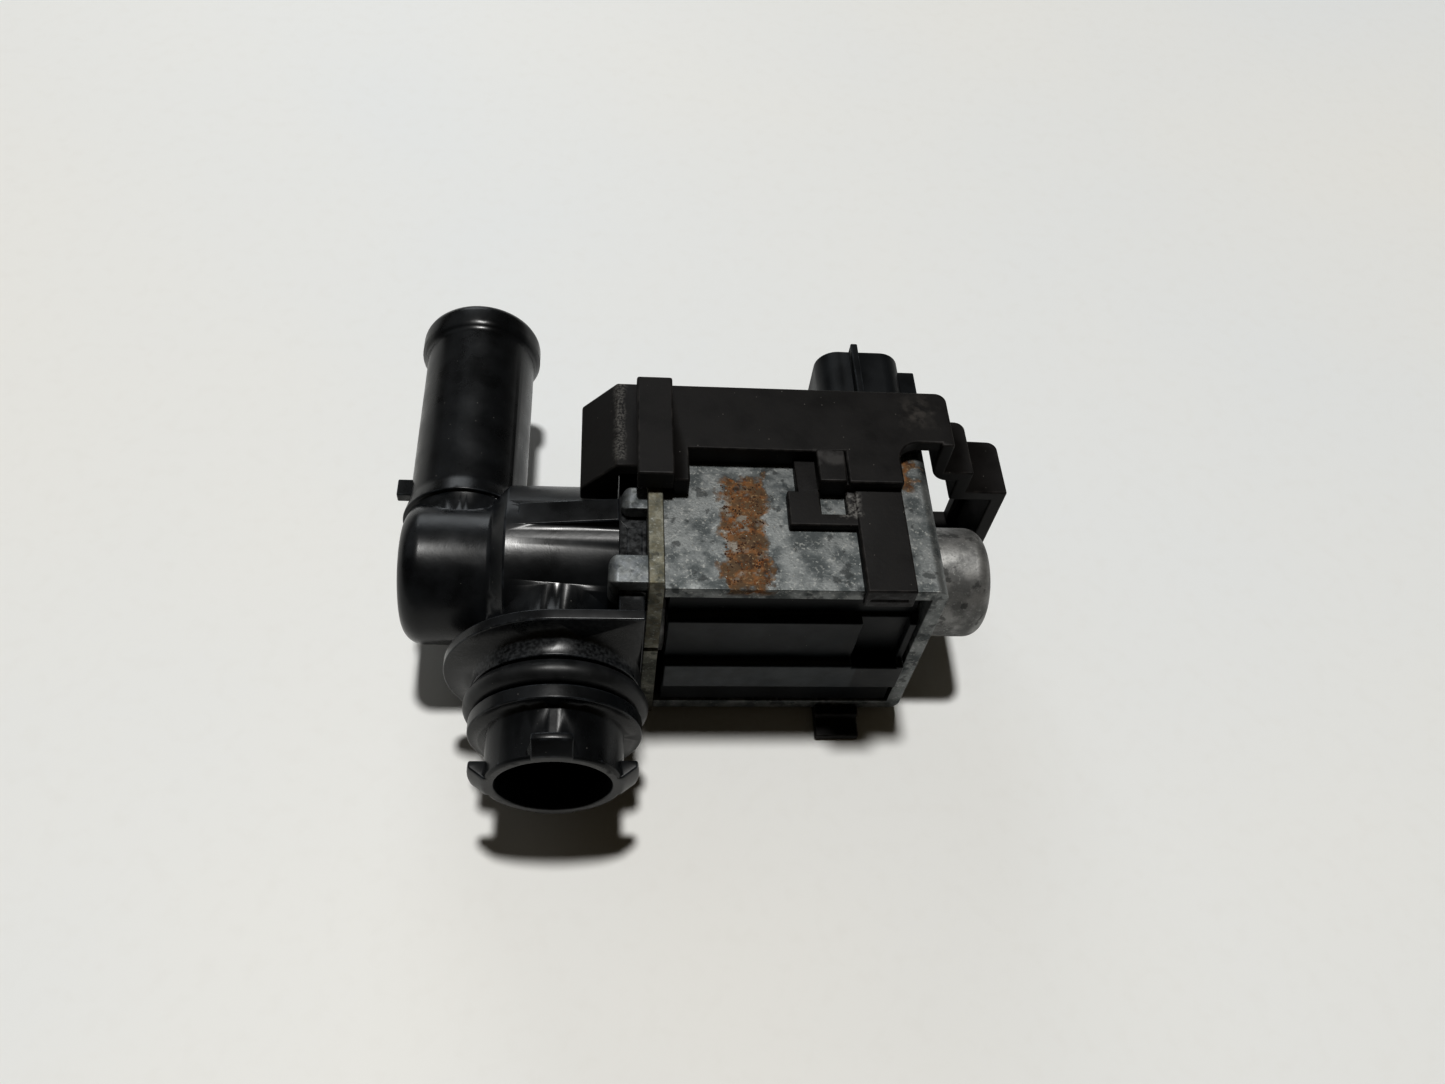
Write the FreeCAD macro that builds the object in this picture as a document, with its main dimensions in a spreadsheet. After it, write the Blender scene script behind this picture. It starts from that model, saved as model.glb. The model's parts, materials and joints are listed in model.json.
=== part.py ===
"""Solenoid air valve with a clip-on bracket, as a parametric FreeCAD document.

Lengths are in millimetres. The sizes are measured from the coil's axis (X, towards the can's
round end), with x = 0 on the end plate's face that meets the valve body, +Y along the hose pipe
and +Z up. The whole part is then shifted so that its origin is the centre of the spigot's pilot
collar: origin_x and origin_y are that shift.
"""
import FreeCAD, Part
import os
import re
import Sketcher

SIZES = {
    # shift from the coil's axis to the part's origin
    "origin_x": 11.1, "origin_y": 23.25,
    # gaps and fits shared by several sub-parts
    "joint_gap": 0.3, "finger_gap": 0.05, "running_gap": 0.05, "fit_gap": 0.02, "plunger_gap": 0.1,
    # valve body: chambers along the coil's axis
    "body_left": -32.0, "cap_radius": 9.5, "cap_round": 2.9, "cone_start": -20.5, "cone_end": -18.1,
    "barrel_radius": 12.3, "flange_back": -3.5, "flange_half_y": 11.1, "flange_half_z": 13.5,
    "chamber_radius": 9.4, "seat_face": -16.5, "seat_lip": 1.0, "seat_bore": 6.6,
    "seat_lip_radius": 7.6, "left_chamber_end": -29.5,
    "gasket_inner": 9.7, "gasket_outer": 10.8, "gasket_depth": 1.2,
    "gusset_left": -16.5, "gusset_front": -0.15, "gusset_back": 3.4, "gusset_root": 10.3,
    "gusset_low": 12.2, "gusset_top": 13.6,
    "land_left": -2.55, "land_right": -0.55, "land_back": -1.4,
    # hose pipe
    "pipe_x": -24.5, "pipe_radius": 8.0, "pipe_bore": 6.2, "pipe_inner_bore": 5.0, "bore_step_y": 9.0,
    "root_cone": 8.7, "root_start": 8.2, "root_end": 11.2, "bead_radius": 8.9, "bead_round": 1.9,
    "bead_ramp": 38.4, "bead_start": 39.8, "bead_end": 41.8,
    "tab_left": -34.5, "tab_right": -31.5, "tab_front": 12.8, "tab_back": 15.6, "tab_half": 0.8,
    # spigot
    "spigot_x": -11.1, "neck_radius": 9.8, "seat_plate_back": -14.1, "seat_plate_front": -15.6,
    "seat_plate_radius": 14.5, "seat_plate_link": 13.0, "back_collar": 10.8, "back_collar_end": -18.4,
    "groove_radius": 8.7, "pilot_radius": 10.9, "pilot_start": -22.3, "pilot_end": -24.2,
    "spigot_radius": 8.6, "spigot_bore": 7.2, "spigot_inner_bore": 5.3, "spigot_step_y": -15.0,
    "spigot_end": -30.8, "tip_round": 0.5, "lug_radius": 10.5, "lug_back": -28.4, "lug_tip": -29.3,
    "lug_width": 5.0, "ring_section": 1.5, "ring_radius": 10.22, "ring_y": -20.35,
    # steel yoke and end plate
    "sheet": 2.0, "plate_half_y": 11.9, "plate_half_z": 17.0, "nick_low": 0.4, "nick_high": 1.2,
    "nick_depth": 0.5, "yoke_half_z": 15.7, "yoke_right": 37.9, "yoke_round": 1.7,
    "front_finger_low": -11.0, "front_finger_high": -6.9, "front_finger_tip": -4.9, "finger_drop": 10.6,
    "rear_finger_low": 0.2, "rear_finger_high": 3.6, "rear_finger_tip": -3.3, "finger_round": 1.3,
    "finger_corner": 1.2,
    # can and coil
    "can_radius": 7.7, "can_wall": 0.8, "can_end": 47.7, "can_round": 2.4, "can_flange": 10.0,
    "coil_left": 2.9, "coil_right": 35.6, "bobbin_inner": 7.8, "bobbin_tube": 8.4, "bobbin_flange": 9.5,
    "bobbin_side": 1.3, "bobbin_side_left": 2.0, "recess_radius": 8.9, "recess_depth": 1.1,
    "seal_section": 0.55, "case_half_y": 11.5, "case_half_z": 13.6, "case_bore": 9.55,
    "rib_front": -13.0, "rib_low": -7.4, "rib_high": -1.6, "step_low": 7.2, "step_back": -9.6,
    "pocket_left": 28.4, "pocket_right": 34.6, "pocket_front": -12.5, "pocket_back": -10.3,
    "pocket_floor": -4.5, "pocket_sill": -1.9,
    # connector on the coil case
    "neck_left": 24.8, "neck_right": 40.6, "neck_half": 6.7, "neck_back": 24.0,
    "shroud_left": 27.1, "shroud_right": 40.3, "shroud_half": 6.3, "shroud_back": 38.4,
    "shroud_round": 3.4, "shroud_wall": 1.4, "socket_floor": 26.0, "socket_top": 5.3,
    "socket_side": 39.3,
    "key_left": 32.05, "key_right": 33.1, "key_front": 21.0, "key_top": 8.1,
    "lock_right": 42.6, "lock_low": -1.8, "lock_high": 4.2, "lock_front": 29.0, "lock_back": 36.4,
    "pin_x": 33.7, "pin_pitch": 5.0, "pin_wide": 1.5, "pin_thick": 0.8, "pin_foot": 12.0,
    "pin_tip": 35.0,
    # magnet core, plunger and valve disc
    "core_right": 14.0, "core_neck": 4.0, "core_head": 5.0, "core_head_left": -1.2,
    "spring_pocket": 4.5, "core_pocket_x": 8.0, "bush_outer": 2.6, "bush_right": 7.0,
    "rod_radius": 1.5, "rod_left": -14.8, "rod_right": 24.0,
    "plunger_left": 17.0, "plunger_right": 45.3, "plunger_pocket_x": 20.0,
    "groove_half": 0.6, "groove_floor": 5.6, "pad_left": 45.4, "pad_radius": 5.2,
    "spring_radius": 3.6, "spring_wire": 0.35, "spring_turns": 7.0,
    "seal_left": -12.95, "seal_right": -10.95, "seal_radius": 8.3, "seal_hollow": 6.2,
    "carrier_right": -9.75, "carrier_radius": 7.4, "hub_radius": 3.0, "hub_right": -6.5,
    "nut_left": -13.7, "nut_nose": 2.4, "nut_radius": 3.2,
    # clip-on bracket: top plate, arm and low pads
    "top_face": 19.0, "top_under": 17.1, "strip_front": 7.7, "bracket_back": 18.6, "skirt_back": 9.5,
    "strip_right": 41.0, "right_front": 9.7, "corner_round": 1.5, "inner_round": 3.0,
    "arm_left": 26.8, "arm_right": 33.2, "arm_step_y": 2.7, "arm_top": 17.3, "arm_low": 15.75,
    "arm_front": -12.95, "lip_low": 13.9, "lip_back": -12.0, "lip_line": 15.2, "line_half": 0.1,
    "line_depth": 0.25, "line_left": 27.7, "line_right": 32.3,
    "low_front": -2.8, "low_left": 18.0, "low_strip_left": 19.3, "low_top": 17.0,
    "window_left": 22.3, "window_right": 25.7, "window_front": -0.9, "latch_left": 22.0,
    "latch_back": 7.9, "latch_top": 19.15, "slit_right": 25.9, "slit_low": 18.2,
    # clip-on bracket: rib over the end plate and folded wing
    "cover_left": -1.4, "cover_right": 3.3, "cover_front": 2.2, "cover_under": 17.25, "cover_top": 20.5,
    "cover_side_low": 16.25, "foot_right": 5.3, "foot_near": 2.4, "wing_fold": -4.0,
    "wing_left": -8.6, "wing_drop": 14.0, "wing_low": 11.6, "wing_front": 4.5, "wing_wall": 2.0,
    "wing_inner": -3.7, "wing_offset": 0.8,
    # clip-on bracket: stepped strap, back wall and foot under the yoke
    "tread_one": 13.2, "tread_two": 9.0, "tread_wall": 1.8, "riser_one": 39.2, "riser_two": 43.1,
    "step_one": 45.2, "step_two": 51.2, "strap_front": 9.2, "strap_round": 1.4, "strap_corner": 2.6,
    "loop_left": 38.4, "loop_floor": -8.0, "loop_low": -10.0, "loop_right_wall": 49.2,
    "loop_back_left": 47.8, "back_wall": 16.6, "back_left": -3.5, "back_window": 23.4,
    "back_lower_right": 39.4, "sole_low": -17.0, "sole_top": -15.8, "sole_left": 4.0,
    "tongue_left": 25.4, "tongue_right": 31.7, "tongue_front": -16.4, "barb_top": -14.6,
    "barb_front": -13.6,
}

doc = FreeCAD.newDocument("SolenoidValve")
sheet = doc.addObject("Spreadsheet::Sheet", "Sizes")
for row, (alias, value) in enumerate(SIZES.items(), start=1):
    sheet.set(f"A{row}", alias)
    sheet.set(f"B{row}", str(value))
    sheet.setAlias(f"B{row}", alias)
doc.recompute()

WORD = re.compile(r"[a-z][a-z_]+")
TURN_TO_X = FreeCAD.Rotation(FreeCAD.Vector(0, 1, 0), 90)
TURN_TO_Y = FreeCAD.Rotation(FreeCAD.Vector(1, 0, 0), -90)
SUB_PARTS = []


def bound(formula):
    """The formula with each of the sheet's names pointed at its cell."""
    return WORD.sub(lambda word: f"Sizes.{word[0]}" if word[0] in SIZES else word[0], formula)


def number(formula):
    """The value of a formula in the sheet's names."""
    return float(sheet.evalExpression(bound(formula)))


def bind(item, **formulas):
    """Bind an object's sizes to formulas; Base_x stands for Placement.Base.x."""
    for name, formula in formulas.items():
        path = name.replace("Base_", "Placement.Base.")
        item.setExpression(path, bound(formula))
    return item


def finish(item, label):
    """Name a sub-part and shift it into the part's own frame."""
    item.Label = label
    bind(item, Base_x="origin_x", Base_y="origin_y")
    SUB_PARTS.append(item)
    return item


def finish_ring(item, label, x, y):
    """Finish a single ring, whose own centre is kept in the shifted place."""
    finish(item, label)
    return bind(item, Base_x=f"{x} + origin_x", Base_y=f"{y} + origin_y")


def block(name, x, y, z):
    """A box between pairs of formulas."""
    box = doc.addObject("Part::Box", name)
    bind(box, Length=f"({x[1]}) - ({x[0]})", Width=f"({y[1]}) - ({y[0]})", Height=f"({z[1]}) - ({z[0]})")
    return bind(box, Base_x=x[0], Base_y=y[0], Base_z=z[0])


def round_bar(name, radius, span, axis="x", across="0"):
    """A cylinder along the coil's axis, or along Y at x = across."""
    bar = doc.addObject("Part::Cylinder", name)
    bar.Placement.Rotation = TURN_TO_X if axis == "x" else TURN_TO_Y
    bind(bar, Radius=radius, Height=f"({span[1]}) - ({span[0]})")
    if axis == "x":
        return bind(bar, Base_x=span[0])
    return bind(bar, Base_x=across, Base_y=span[0])


def taper(name, radii, span, axis="x", across="0"):
    """A cone frustum along the coil's axis, or along Y at x = across."""
    cone = doc.addObject("Part::Cone", name)
    cone.Placement.Rotation = TURN_TO_X if axis == "x" else TURN_TO_Y
    bind(cone, Radius1=radii[0], Radius2=radii[1], Height=f"({span[1]}) - ({span[0]})")
    if axis == "x":
        return bind(cone, Base_x=span[0])
    return bind(cone, Base_x=across, Base_y=span[0])


def ring(name, major, minor, centre, axis="x", across="0"):
    """A torus about the coil's axis, or about the line along Y at x = across."""
    torus = doc.addObject("Part::Torus", name)
    torus.Placement.Rotation = TURN_TO_X if axis == "x" else TURN_TO_Y
    bind(torus, Radius1=major, Radius2=minor)
    if axis == "x":
        return bind(torus, Base_x=centre)
    return bind(torus, Base_x=across, Base_y=centre)


def upright_bar(name, radius, x, y, z):
    """A cylinder that stands along Z."""
    bar = doc.addObject("Part::Cylinder", name)
    bind(bar, Radius=radius, Height=f"({z[1]}) - ({z[0]})")
    return bind(bar, Base_x=x, Base_y=y, Base_z=z[0])


def joined(name, pieces):
    """One solid from several overlapping or touching pieces."""
    fuse = doc.addObject("Part::MultiFuse", name)
    fuse.Shapes = pieces
    fuse.Refine = True
    return fuse


def cut(name, base, tool):
    """The base with the tool taken away."""
    result = doc.addObject("Part::Cut", name)
    result.Base = base
    result.Tool = tool
    result.Refine = True
    return result


def shared(name, pieces):
    """What several overlapping pieces have in common."""
    common = doc.addObject("Part::MultiCommon", name)
    common.Shapes = pieces
    return common


def at(value, formula):
    """True where a coordinate is the value of a formula."""
    return abs(value - number(formula)) < 0.01


def runs_along(edge, axis):
    """True for a straight edge that runs along the named axis."""
    return abs(getattr(edge.tangentAt(edge.FirstParameter), axis)) > 0.99


def rounded(name, base, radius, wanted):
    """The base with a fillet on each edge whose middle point passes the wanted test."""
    doc.recompute()
    chosen = []
    for index, edge in enumerate(base.Shape.Edges, start=1):
        if wanted(edge, edge.valueAt((edge.FirstParameter + edge.LastParameter) / 2)):
            chosen.append((index, number(radius), number(radius)))
    if not chosen:
        raise RuntimeError(f"{name}: no edge to round")
    fillet = doc.addObject("Part::Fillet", name)
    fillet.Base = base
    fillet.Edges = chosen
    return fillet


def outline_sketch(body, name, plane, points):
    """A closed polygon on an origin plane, with each corner's two distances bound to the sheet."""
    sketch = body.newObject("Sketcher::SketchObject", name)
    origin_plane = [feature for feature in body.Origin.OriginFeatures if feature.Role == plane][0]
    sketch.AttachmentSupport = (origin_plane, [""])
    sketch.MapMode = "FlatFace"
    places = [FreeCAD.Vector(number(u), number(v), 0) for u, v in points]
    count = len(points)
    for index in range(count):
        sketch.addGeometry(Part.LineSegment(places[index], places[(index + 1) % count]))
    for index in range(count):
        sketch.addConstraint(join_ends(index, (index + 1) % count))
    for index, (u, v) in enumerate(points):
        for kind, formula in (("DistanceX", u), ("DistanceY", v)):
            constraint = Sketcher.Constraint(kind, -1, 1, index, 1, number(formula))
            position = sketch.addConstraint(constraint)
            sketch.setExpression(f"Constraints[{position}]", bound(formula))
    return sketch


def join_ends(first, second):
    """The end of one line held on the start of the next."""
    return Sketcher.Constraint("Coincident", first, 2, second, 1)


def turned(label, points, name=None):
    """A Body turned about the coil's axis from (along, radius) corners."""
    body = doc.addObject("PartDesign::Body", name or label + "_body")
    sketch = outline_sketch(body, body.Name + "_outline", "XY_Plane", points)
    turn = body.newObject("PartDesign::Revolution", body.Name + "_turn")
    turn.Profile = sketch
    turn.ReferenceAxis = (sketch, ["H_Axis"])
    turn.Angle = 360
    sketch.Visibility = False
    return body


def prism(name, points, y):
    """A Body padded along Y between two formulas from corners in the XZ plane."""
    body = doc.addObject("PartDesign::Body", name)
    sketch = outline_sketch(body, name + "_outline", "XZ_Plane", points)
    sketch.setExpression("AttachmentOffset.Base.z", bound(f"-({y[0]})"))
    pad = body.newObject("PartDesign::Pad", name + "_pad")
    pad.Profile = sketch
    pad.Reversed = True
    pad.setExpression("Length", bound(f"({y[1]}) - ({y[0]})"))
    return body


def valve_body():
    """The moulded body: hose pipe, valve chamber, snap-in spigot and crimped flange."""
    cap = round_bar("CapBar", "cap_radius", ("body_left", "cone_start"))
    outside = [
        rounded("CapRounded", cap, "cap_round", lambda edge, mid: at(mid.x, "body_left")),
        taper("BarrelCone", ("cap_radius", "barrel_radius"), ("cone_start", "cone_end")),
        round_bar("Barrel", "barrel_radius", ("cone_end", "flange_back")),
        block("BodyFlange", ("flange_back", "0"), ("-flange_half_y", "flange_half_y"),
              ("-flange_half_z", "flange_half_z")),
        block("FingerLand", ("land_left", "land_right"), ("-flange_half_y", "land_back"),
              ("flange_half_z", "yoke_half_z - sheet")),
        prism("Gusset", [("gusset_left", "gusset_root"), ("flange_back", "gusset_root"),
                         ("flange_back", "gusset_top"), ("gusset_left", "gusset_low")],
              ("gusset_front", "gusset_back")),
    ]
    outside += hose_pipe() + seating_plate() + spigot()
    shell = cut("BodyShell", joined("BodyOutside", outside), joined("BodyHollows", body_hollows()))
    lip_span = ("seat_face - seat_lip", "seat_face + seat_lip")
    lip = cut("SeatLip", round_bar("LipOuter", "seat_lip_radius", lip_span),
              round_bar("LipInner", "seat_bore", lip_span))
    finish(joined("BodyWithLip", [shell, lip]), "valve_body")


def hose_pipe():
    """The hose pipe with its root, its bead and the small tab at its side."""
    return [
        round_bar("Pipe", "pipe_radius", ("0", "bead_end"), "y", "pipe_x"),
        taper("PipeRoot", ("root_cone", "pipe_radius"), ("root_start", "root_end"), "y", "pipe_x"),
        taper("BeadRamp", ("pipe_radius", "bead_radius"), ("bead_ramp", "bead_start"), "y", "pipe_x"),
        round_bar("BeadLand", "bead_radius", ("bead_start", "bead_end"), "y", "pipe_x"),
        ring("BeadRound", "bead_radius - bead_round", "bead_round", "bead_end", "y", "pipe_x"),
        block("SideTab", ("tab_left", "tab_right"), ("tab_front", "tab_back"), ("-tab_half", "tab_half")),
    ]


def seating_plate():
    """The plate that meets the socket's face, cut straight beside the end plate, and its neck."""
    span = ("seat_plate_front", "seat_plate_back")
    disc = round_bar("SeatDisc", "seat_plate_radius", span, "y", "spigot_x")
    tall = ("-seat_plate_radius", "seat_plate_radius")
    straight = block("SeatSide", ("spigot_x", "-joint_gap"), span, tall)
    beyond = block("SeatBeyond", ("-joint_gap", "spigot_x + 2 * seat_plate_radius"), span, tall)
    return [
        cut("SeatPlate", joined("SeatBlank", [disc, straight]), beyond),
        block("SeatLink", ("flange_back", "-joint_gap"), ("seat_plate_back", "-flange_half_y"),
              ("-seat_plate_link", "seat_plate_link")),
        round_bar("Neck", "neck_radius", ("seat_plate_back", "0"), "y", "spigot_x"),
    ]


def spigot():
    """The spigot: two collars with the ring's groove between them, and the nose with its lugs."""
    nose = round_bar("SpigotTube", "spigot_radius", ("spigot_end", "pilot_end"), "y", "spigot_x")
    return [
        round_bar("BackCollar", "back_collar", ("back_collar_end", "seat_plate_front"), "y", "spigot_x"),
        round_bar("GrooveFloor", "groove_radius", ("pilot_start", "back_collar_end"), "y", "spigot_x"),
        round_bar("PilotCollar", "pilot_radius", ("pilot_end", "pilot_start"), "y", "spigot_x"),
        rounded("SpigotNose", nose, "tip_round", lambda edge, mid: at(mid.y, "spigot_end")),
        snap_lugs(),
    ]


def snap_lugs():
    """Four ramped snap lugs: a stepped ring kept only where two crossed bars meet it."""
    whole = joined("LugRing", [
        round_bar("LugLand", "lug_radius", ("lug_tip", "lug_back"), "y", "spigot_x"),
        taper("LugRamp", ("spigot_radius", "lug_radius"), ("spigot_end", "lug_tip"), "y", "spigot_x"),
    ])
    length = ("spigot_end", "lug_back")
    cross = joined("LugCross", [
        block("LugBarX", ("spigot_x - 2 * lug_radius", "spigot_x + 2 * lug_radius"), length,
              ("-lug_width / 2", "lug_width / 2")),
        block("LugBarZ", ("spigot_x - lug_width / 2", "spigot_x + lug_width / 2"), length,
              ("-2 * lug_radius", "2 * lug_radius")),
    ])
    return shared("SnapLugs", [whole, cross])


def body_hollows():
    """The chambers, the valve seat's hole, the gasket's groove and the bores of pipe and spigot."""
    groove = cut("GasketGroove", round_bar("GrooveOuter", "gasket_outer", ("-gasket_depth", "0")),
                 round_bar("GrooveInner", "gasket_inner", ("-gasket_depth", "0")))
    return [
        round_bar("LeftChamber", "seat_bore", ("left_chamber_end", "seat_face - seat_lip")),
        round_bar("SeatHole", "seat_bore", ("seat_face - 2 * seat_lip", "seat_face + seat_lip")),
        round_bar("RightChamber", "chamber_radius", ("seat_face", "0")),
        groove,
        round_bar("PipeBore", "pipe_bore", ("bore_step_y", "bead_end + 2 * bead_round"), "y", "pipe_x"),
        round_bar("PipeInnerBore", "pipe_inner_bore", ("0", "bore_step_y"), "y", "pipe_x"),
        round_bar("SpigotBore", "spigot_bore", ("spigot_end", "spigot_step_y"), "y", "spigot_x"),
        round_bar("SpigotInnerBore", "spigot_inner_bore", ("spigot_step_y", "-chamber_radius / 2"), "y",
                  "spigot_x"),
    ]


def rubber_rings():
    """The spigot's O-ring and the gasket between the body's flange and the end plate."""
    spigot_ring = ring("SpigotRing", "ring_radius", "ring_section", "ring_y", "y", "spigot_x")
    finish_ring(spigot_ring, "spigot_oring", "spigot_x", "ring_y")
    finish(turned("body_gasket", [("-gasket_depth", "gasket_inner"), ("-gasket_depth", "gasket_outer"),
                                  ("0", "gasket_outer"), ("0", "gasket_inner")]), "body_gasket")


def end_plate():
    """The steel plate between the body and the coil, with windows for the yoke's fingers."""
    depth = ("0", "sheet")
    plate = block("PlateBlank", depth, ("-plate_half_y", "plate_half_y"), ("-plate_half_z", "plate_half_z"))
    nick = block("PlateNick", depth, ("-plate_half_y", "nick_depth - plate_half_y"),
                 ("nick_low", "nick_high"))
    tools = [round_bar("PlateHole", "core_neck + fit_gap", depth), nick]
    for side in (1, -1):
        low, high = sheet_span(side)
        for row, (front, back, _tip) in finger_rows().items():
            tools.append(block(f"Window{row}{side + 1}", depth,
                               (f"{front} - finger_gap", f"{back} + finger_gap"),
                               (f"{low} - finger_gap", f"{high} + finger_gap")))
    finish(cut("PlateCut", plate, joined("PlateHoles", tools)), "end_plate")


def finger_rows():
    """The two rows of crimp fingers: front edge, back edge and tip."""
    return {"Front": ("front_finger_low", "front_finger_high", "front_finger_tip"),
            "Rear": ("rear_finger_low", "rear_finger_high", "rear_finger_tip")}


def sheet_span(side):
    """The lower and upper face of the yoke's top (1) or bottom (-1) sheet."""
    return sorted((f"{side} * yoke_half_z", f"{side} * (yoke_half_z - sheet)"), key=number)


def yoke():
    """The U of sheet steel round the coil, whose fingers are crimped over the body flange."""
    wide = ("-plate_half_y", "plate_half_y")
    blank = block("YokeBlank", ("sheet", "yoke_right"), wide, ("-yoke_half_z", "yoke_half_z"))
    bent = rounded("YokeBent", blank, "yoke_round",
                   lambda edge, mid: at(mid.x, "yoke_right") and at(mid.y, "0"))
    room = block("YokeRoom", ("sheet", "yoke_right - sheet"), wide,
                 ("sheet - yoke_half_z", "yoke_half_z - sheet"))
    hole = round_bar("YokeHole", "can_radius + fit_gap", ("yoke_right - sheet", "yoke_right"))
    pieces = [cut("YokeFrame", bent, joined("YokeHollow", [room, hole]))]
    for side in (1, -1):
        for row, (front, back, tip) in finger_rows().items():
            pieces.append(finger(f"{row}{side + 1}", side, (front, back), tip, row == "Front"))
    finish(joined("YokeWhole", pieces), "yoke")


def finger(name, side, span, tip, hooked):
    """A crimp finger with rounded corners; a hooked one is bent down behind the flange."""
    low, high = sheet_span(side)
    flat = block(f"Flat{name}", (tip, "sheet"), span, (low, high))
    outer = f"{side} * yoke_half_z"
    base = flat
    if hooked:
        drop = sorted((outer, f"{side} * finger_drop"), key=number)
        base = joined(f"Bend{name}", [flat, block(f"Hook{name}", (tip, "flange_back"), span, drop)])
    bent = rounded(f"Bent{name}", base, "finger_round",
                   lambda edge, mid: at(mid.x, tip) and at(mid.z, outer))
    plan = block(f"Plan{name}", (tip, "sheet"), span, ("-yoke_half_z", "yoke_half_z"))
    corners = rounded(f"Corners{name}", plan, "finger_corner",
                      lambda edge, mid: at(mid.x, tip) and runs_along(edge, "z"))
    return shared(f"Finger{name}", [bent, corners])


def can():
    """The drawn can: a flanged tube with a rounded closed end, guiding the plunger."""
    inner = "can_radius - can_wall"
    body = turned("armature_can", [("sheet", inner), ("sheet", "can_flange"),
                                   ("sheet + can_wall", "can_flange"), ("sheet + can_wall", "can_radius"),
                                   ("can_end", "can_radius"), ("can_end", "0"),
                                   ("can_end - can_wall", "0"), ("can_end - can_wall", inner)], "CanBody")
    outer_rim = 6 * number("can_radius")
    rim = rounded("CanRound", body, "can_round",
                  lambda edge, mid: at(mid.x, "can_end") and edge.Length > outer_rim)
    finish(rim, "armature_can")


def coil():
    """The bobbin, its copper winding and the ring that seals the can's flange."""
    left_side = "coil_left + bobbin_side_left"
    right_side = "coil_right - bobbin_side"
    finish(turned("bobbin", [
        ("coil_left + recess_depth", "bobbin_inner"), ("coil_left + recess_depth", "recess_radius"),
        ("coil_left", "recess_radius"), ("coil_left", "bobbin_flange"), (left_side, "bobbin_flange"),
        (left_side, "bobbin_tube"), (right_side, "bobbin_tube"), (right_side, "bobbin_flange"),
        ("coil_right", "bobbin_flange"), ("coil_right", "bobbin_inner")]), "bobbin")
    finish(turned("copper_winding", [(left_side, "bobbin_tube"), (left_side, "bobbin_flange"),
                                     (right_side, "bobbin_flange"), (right_side, "bobbin_tube")]),
           "copper_winding")
    seal = ring("CanSeal", "recess_radius - seal_section", "seal_section", "coil_left + seal_section")
    finish_ring(seal, "can_seal", "coil_left + seal_section", "0")


def coil_case():
    """The overmould round the coil: its front rib, upper step, pocket and connector."""
    length = ("coil_left", "coil_right")
    outside = [
        block("CaseBox", length, ("-case_half_y", "case_half_y"), ("-case_half_z", "case_half_z")),
        block("CaseRib", length, ("rib_front", "-case_half_y"), ("rib_low", "rib_high")),
        block("ConnectorNeck", ("neck_left", "neck_right"), ("plate_half_y + joint_gap", "neck_back"),
              ("-neck_half", "neck_half")),
        block("ConnectorRoot", ("neck_left", "coil_right"), ("case_half_y", "plate_half_y + joint_gap"),
              ("-neck_half", "neck_half")),
        block("KeyRib", ("key_left", "key_right"), ("key_front", "shroud_back"), ("socket_top", "key_top")),
        block("LockRamp", ("socket_side", "lock_right"), ("lock_front", "lock_back"),
              ("lock_low", "lock_high")),
        connector_shroud(),
    ]
    pocket = ("pocket_left", "pocket_right")
    hollows = [
        round_bar("CaseBore", "case_bore", length),
        block("UpperStep", length, ("-case_half_y", "step_back"), ("step_low", "case_half_z")),
        block("PocketDeep", pocket, ("pocket_front", "pocket_back"), ("pocket_floor", "step_low")),
        block("PocketSill", pocket, ("rib_front", "pocket_front"), ("pocket_sill", "rib_high")),
    ]
    hollows += [pin_block(f"PinSlot{side}", side, "pin_foot", "socket_floor") for side in (1, 2)]
    finish(cut("CaseCut", joined("CaseOutside", outside), joined("CaseHollows", hollows)), "coil_case")


def connector_shroud():
    """The rounded rectangular shroud with its open socket."""
    outer = block("ShroudBlock", ("shroud_left", "shroud_right"), ("neck_back", "shroud_back"),
                  ("-shroud_half", "shroud_half"))
    outer_round = rounded("ShroudRound", outer, "shroud_round", lambda edge, mid: runs_along(edge, "y"))
    room = block("SocketBlock", ("shroud_left + shroud_wall", "shroud_right - shroud_wall"),
                 ("socket_floor", "shroud_back"), ("shroud_wall - shroud_half", "shroud_half - shroud_wall"))
    room_round = rounded("SocketRound", room, "shroud_round - shroud_wall",
                         lambda edge, mid: runs_along(edge, "y"))
    return cut("Shroud", outer_round, room_round)


def pin_block(name, side, front, back):
    """A connector blade, or the slot for it, on the left (1) or the right (2)."""
    middle = f"(pin_x + ({side} - 1.5) * pin_pitch)"
    return block(name, (f"{middle} - pin_wide / 2", f"{middle} + pin_wide / 2"), (front, back),
                 ("-pin_thick / 2", "pin_thick / 2"))


def terminal_pins():
    """Two tin-plated blades standing in the connector's socket."""
    for side in (1, 2):
        pin = pin_block(f"Pin{side}", side, "pin_foot", "pin_tip")
        tip = rounded(f"PinTip{side}", pin, "pin_thick / 3",
                      lambda edge, mid: at(mid.y, "pin_tip") and runs_along(edge, "x"))
        finish(tip, f"terminal_pin_{side}")


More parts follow.
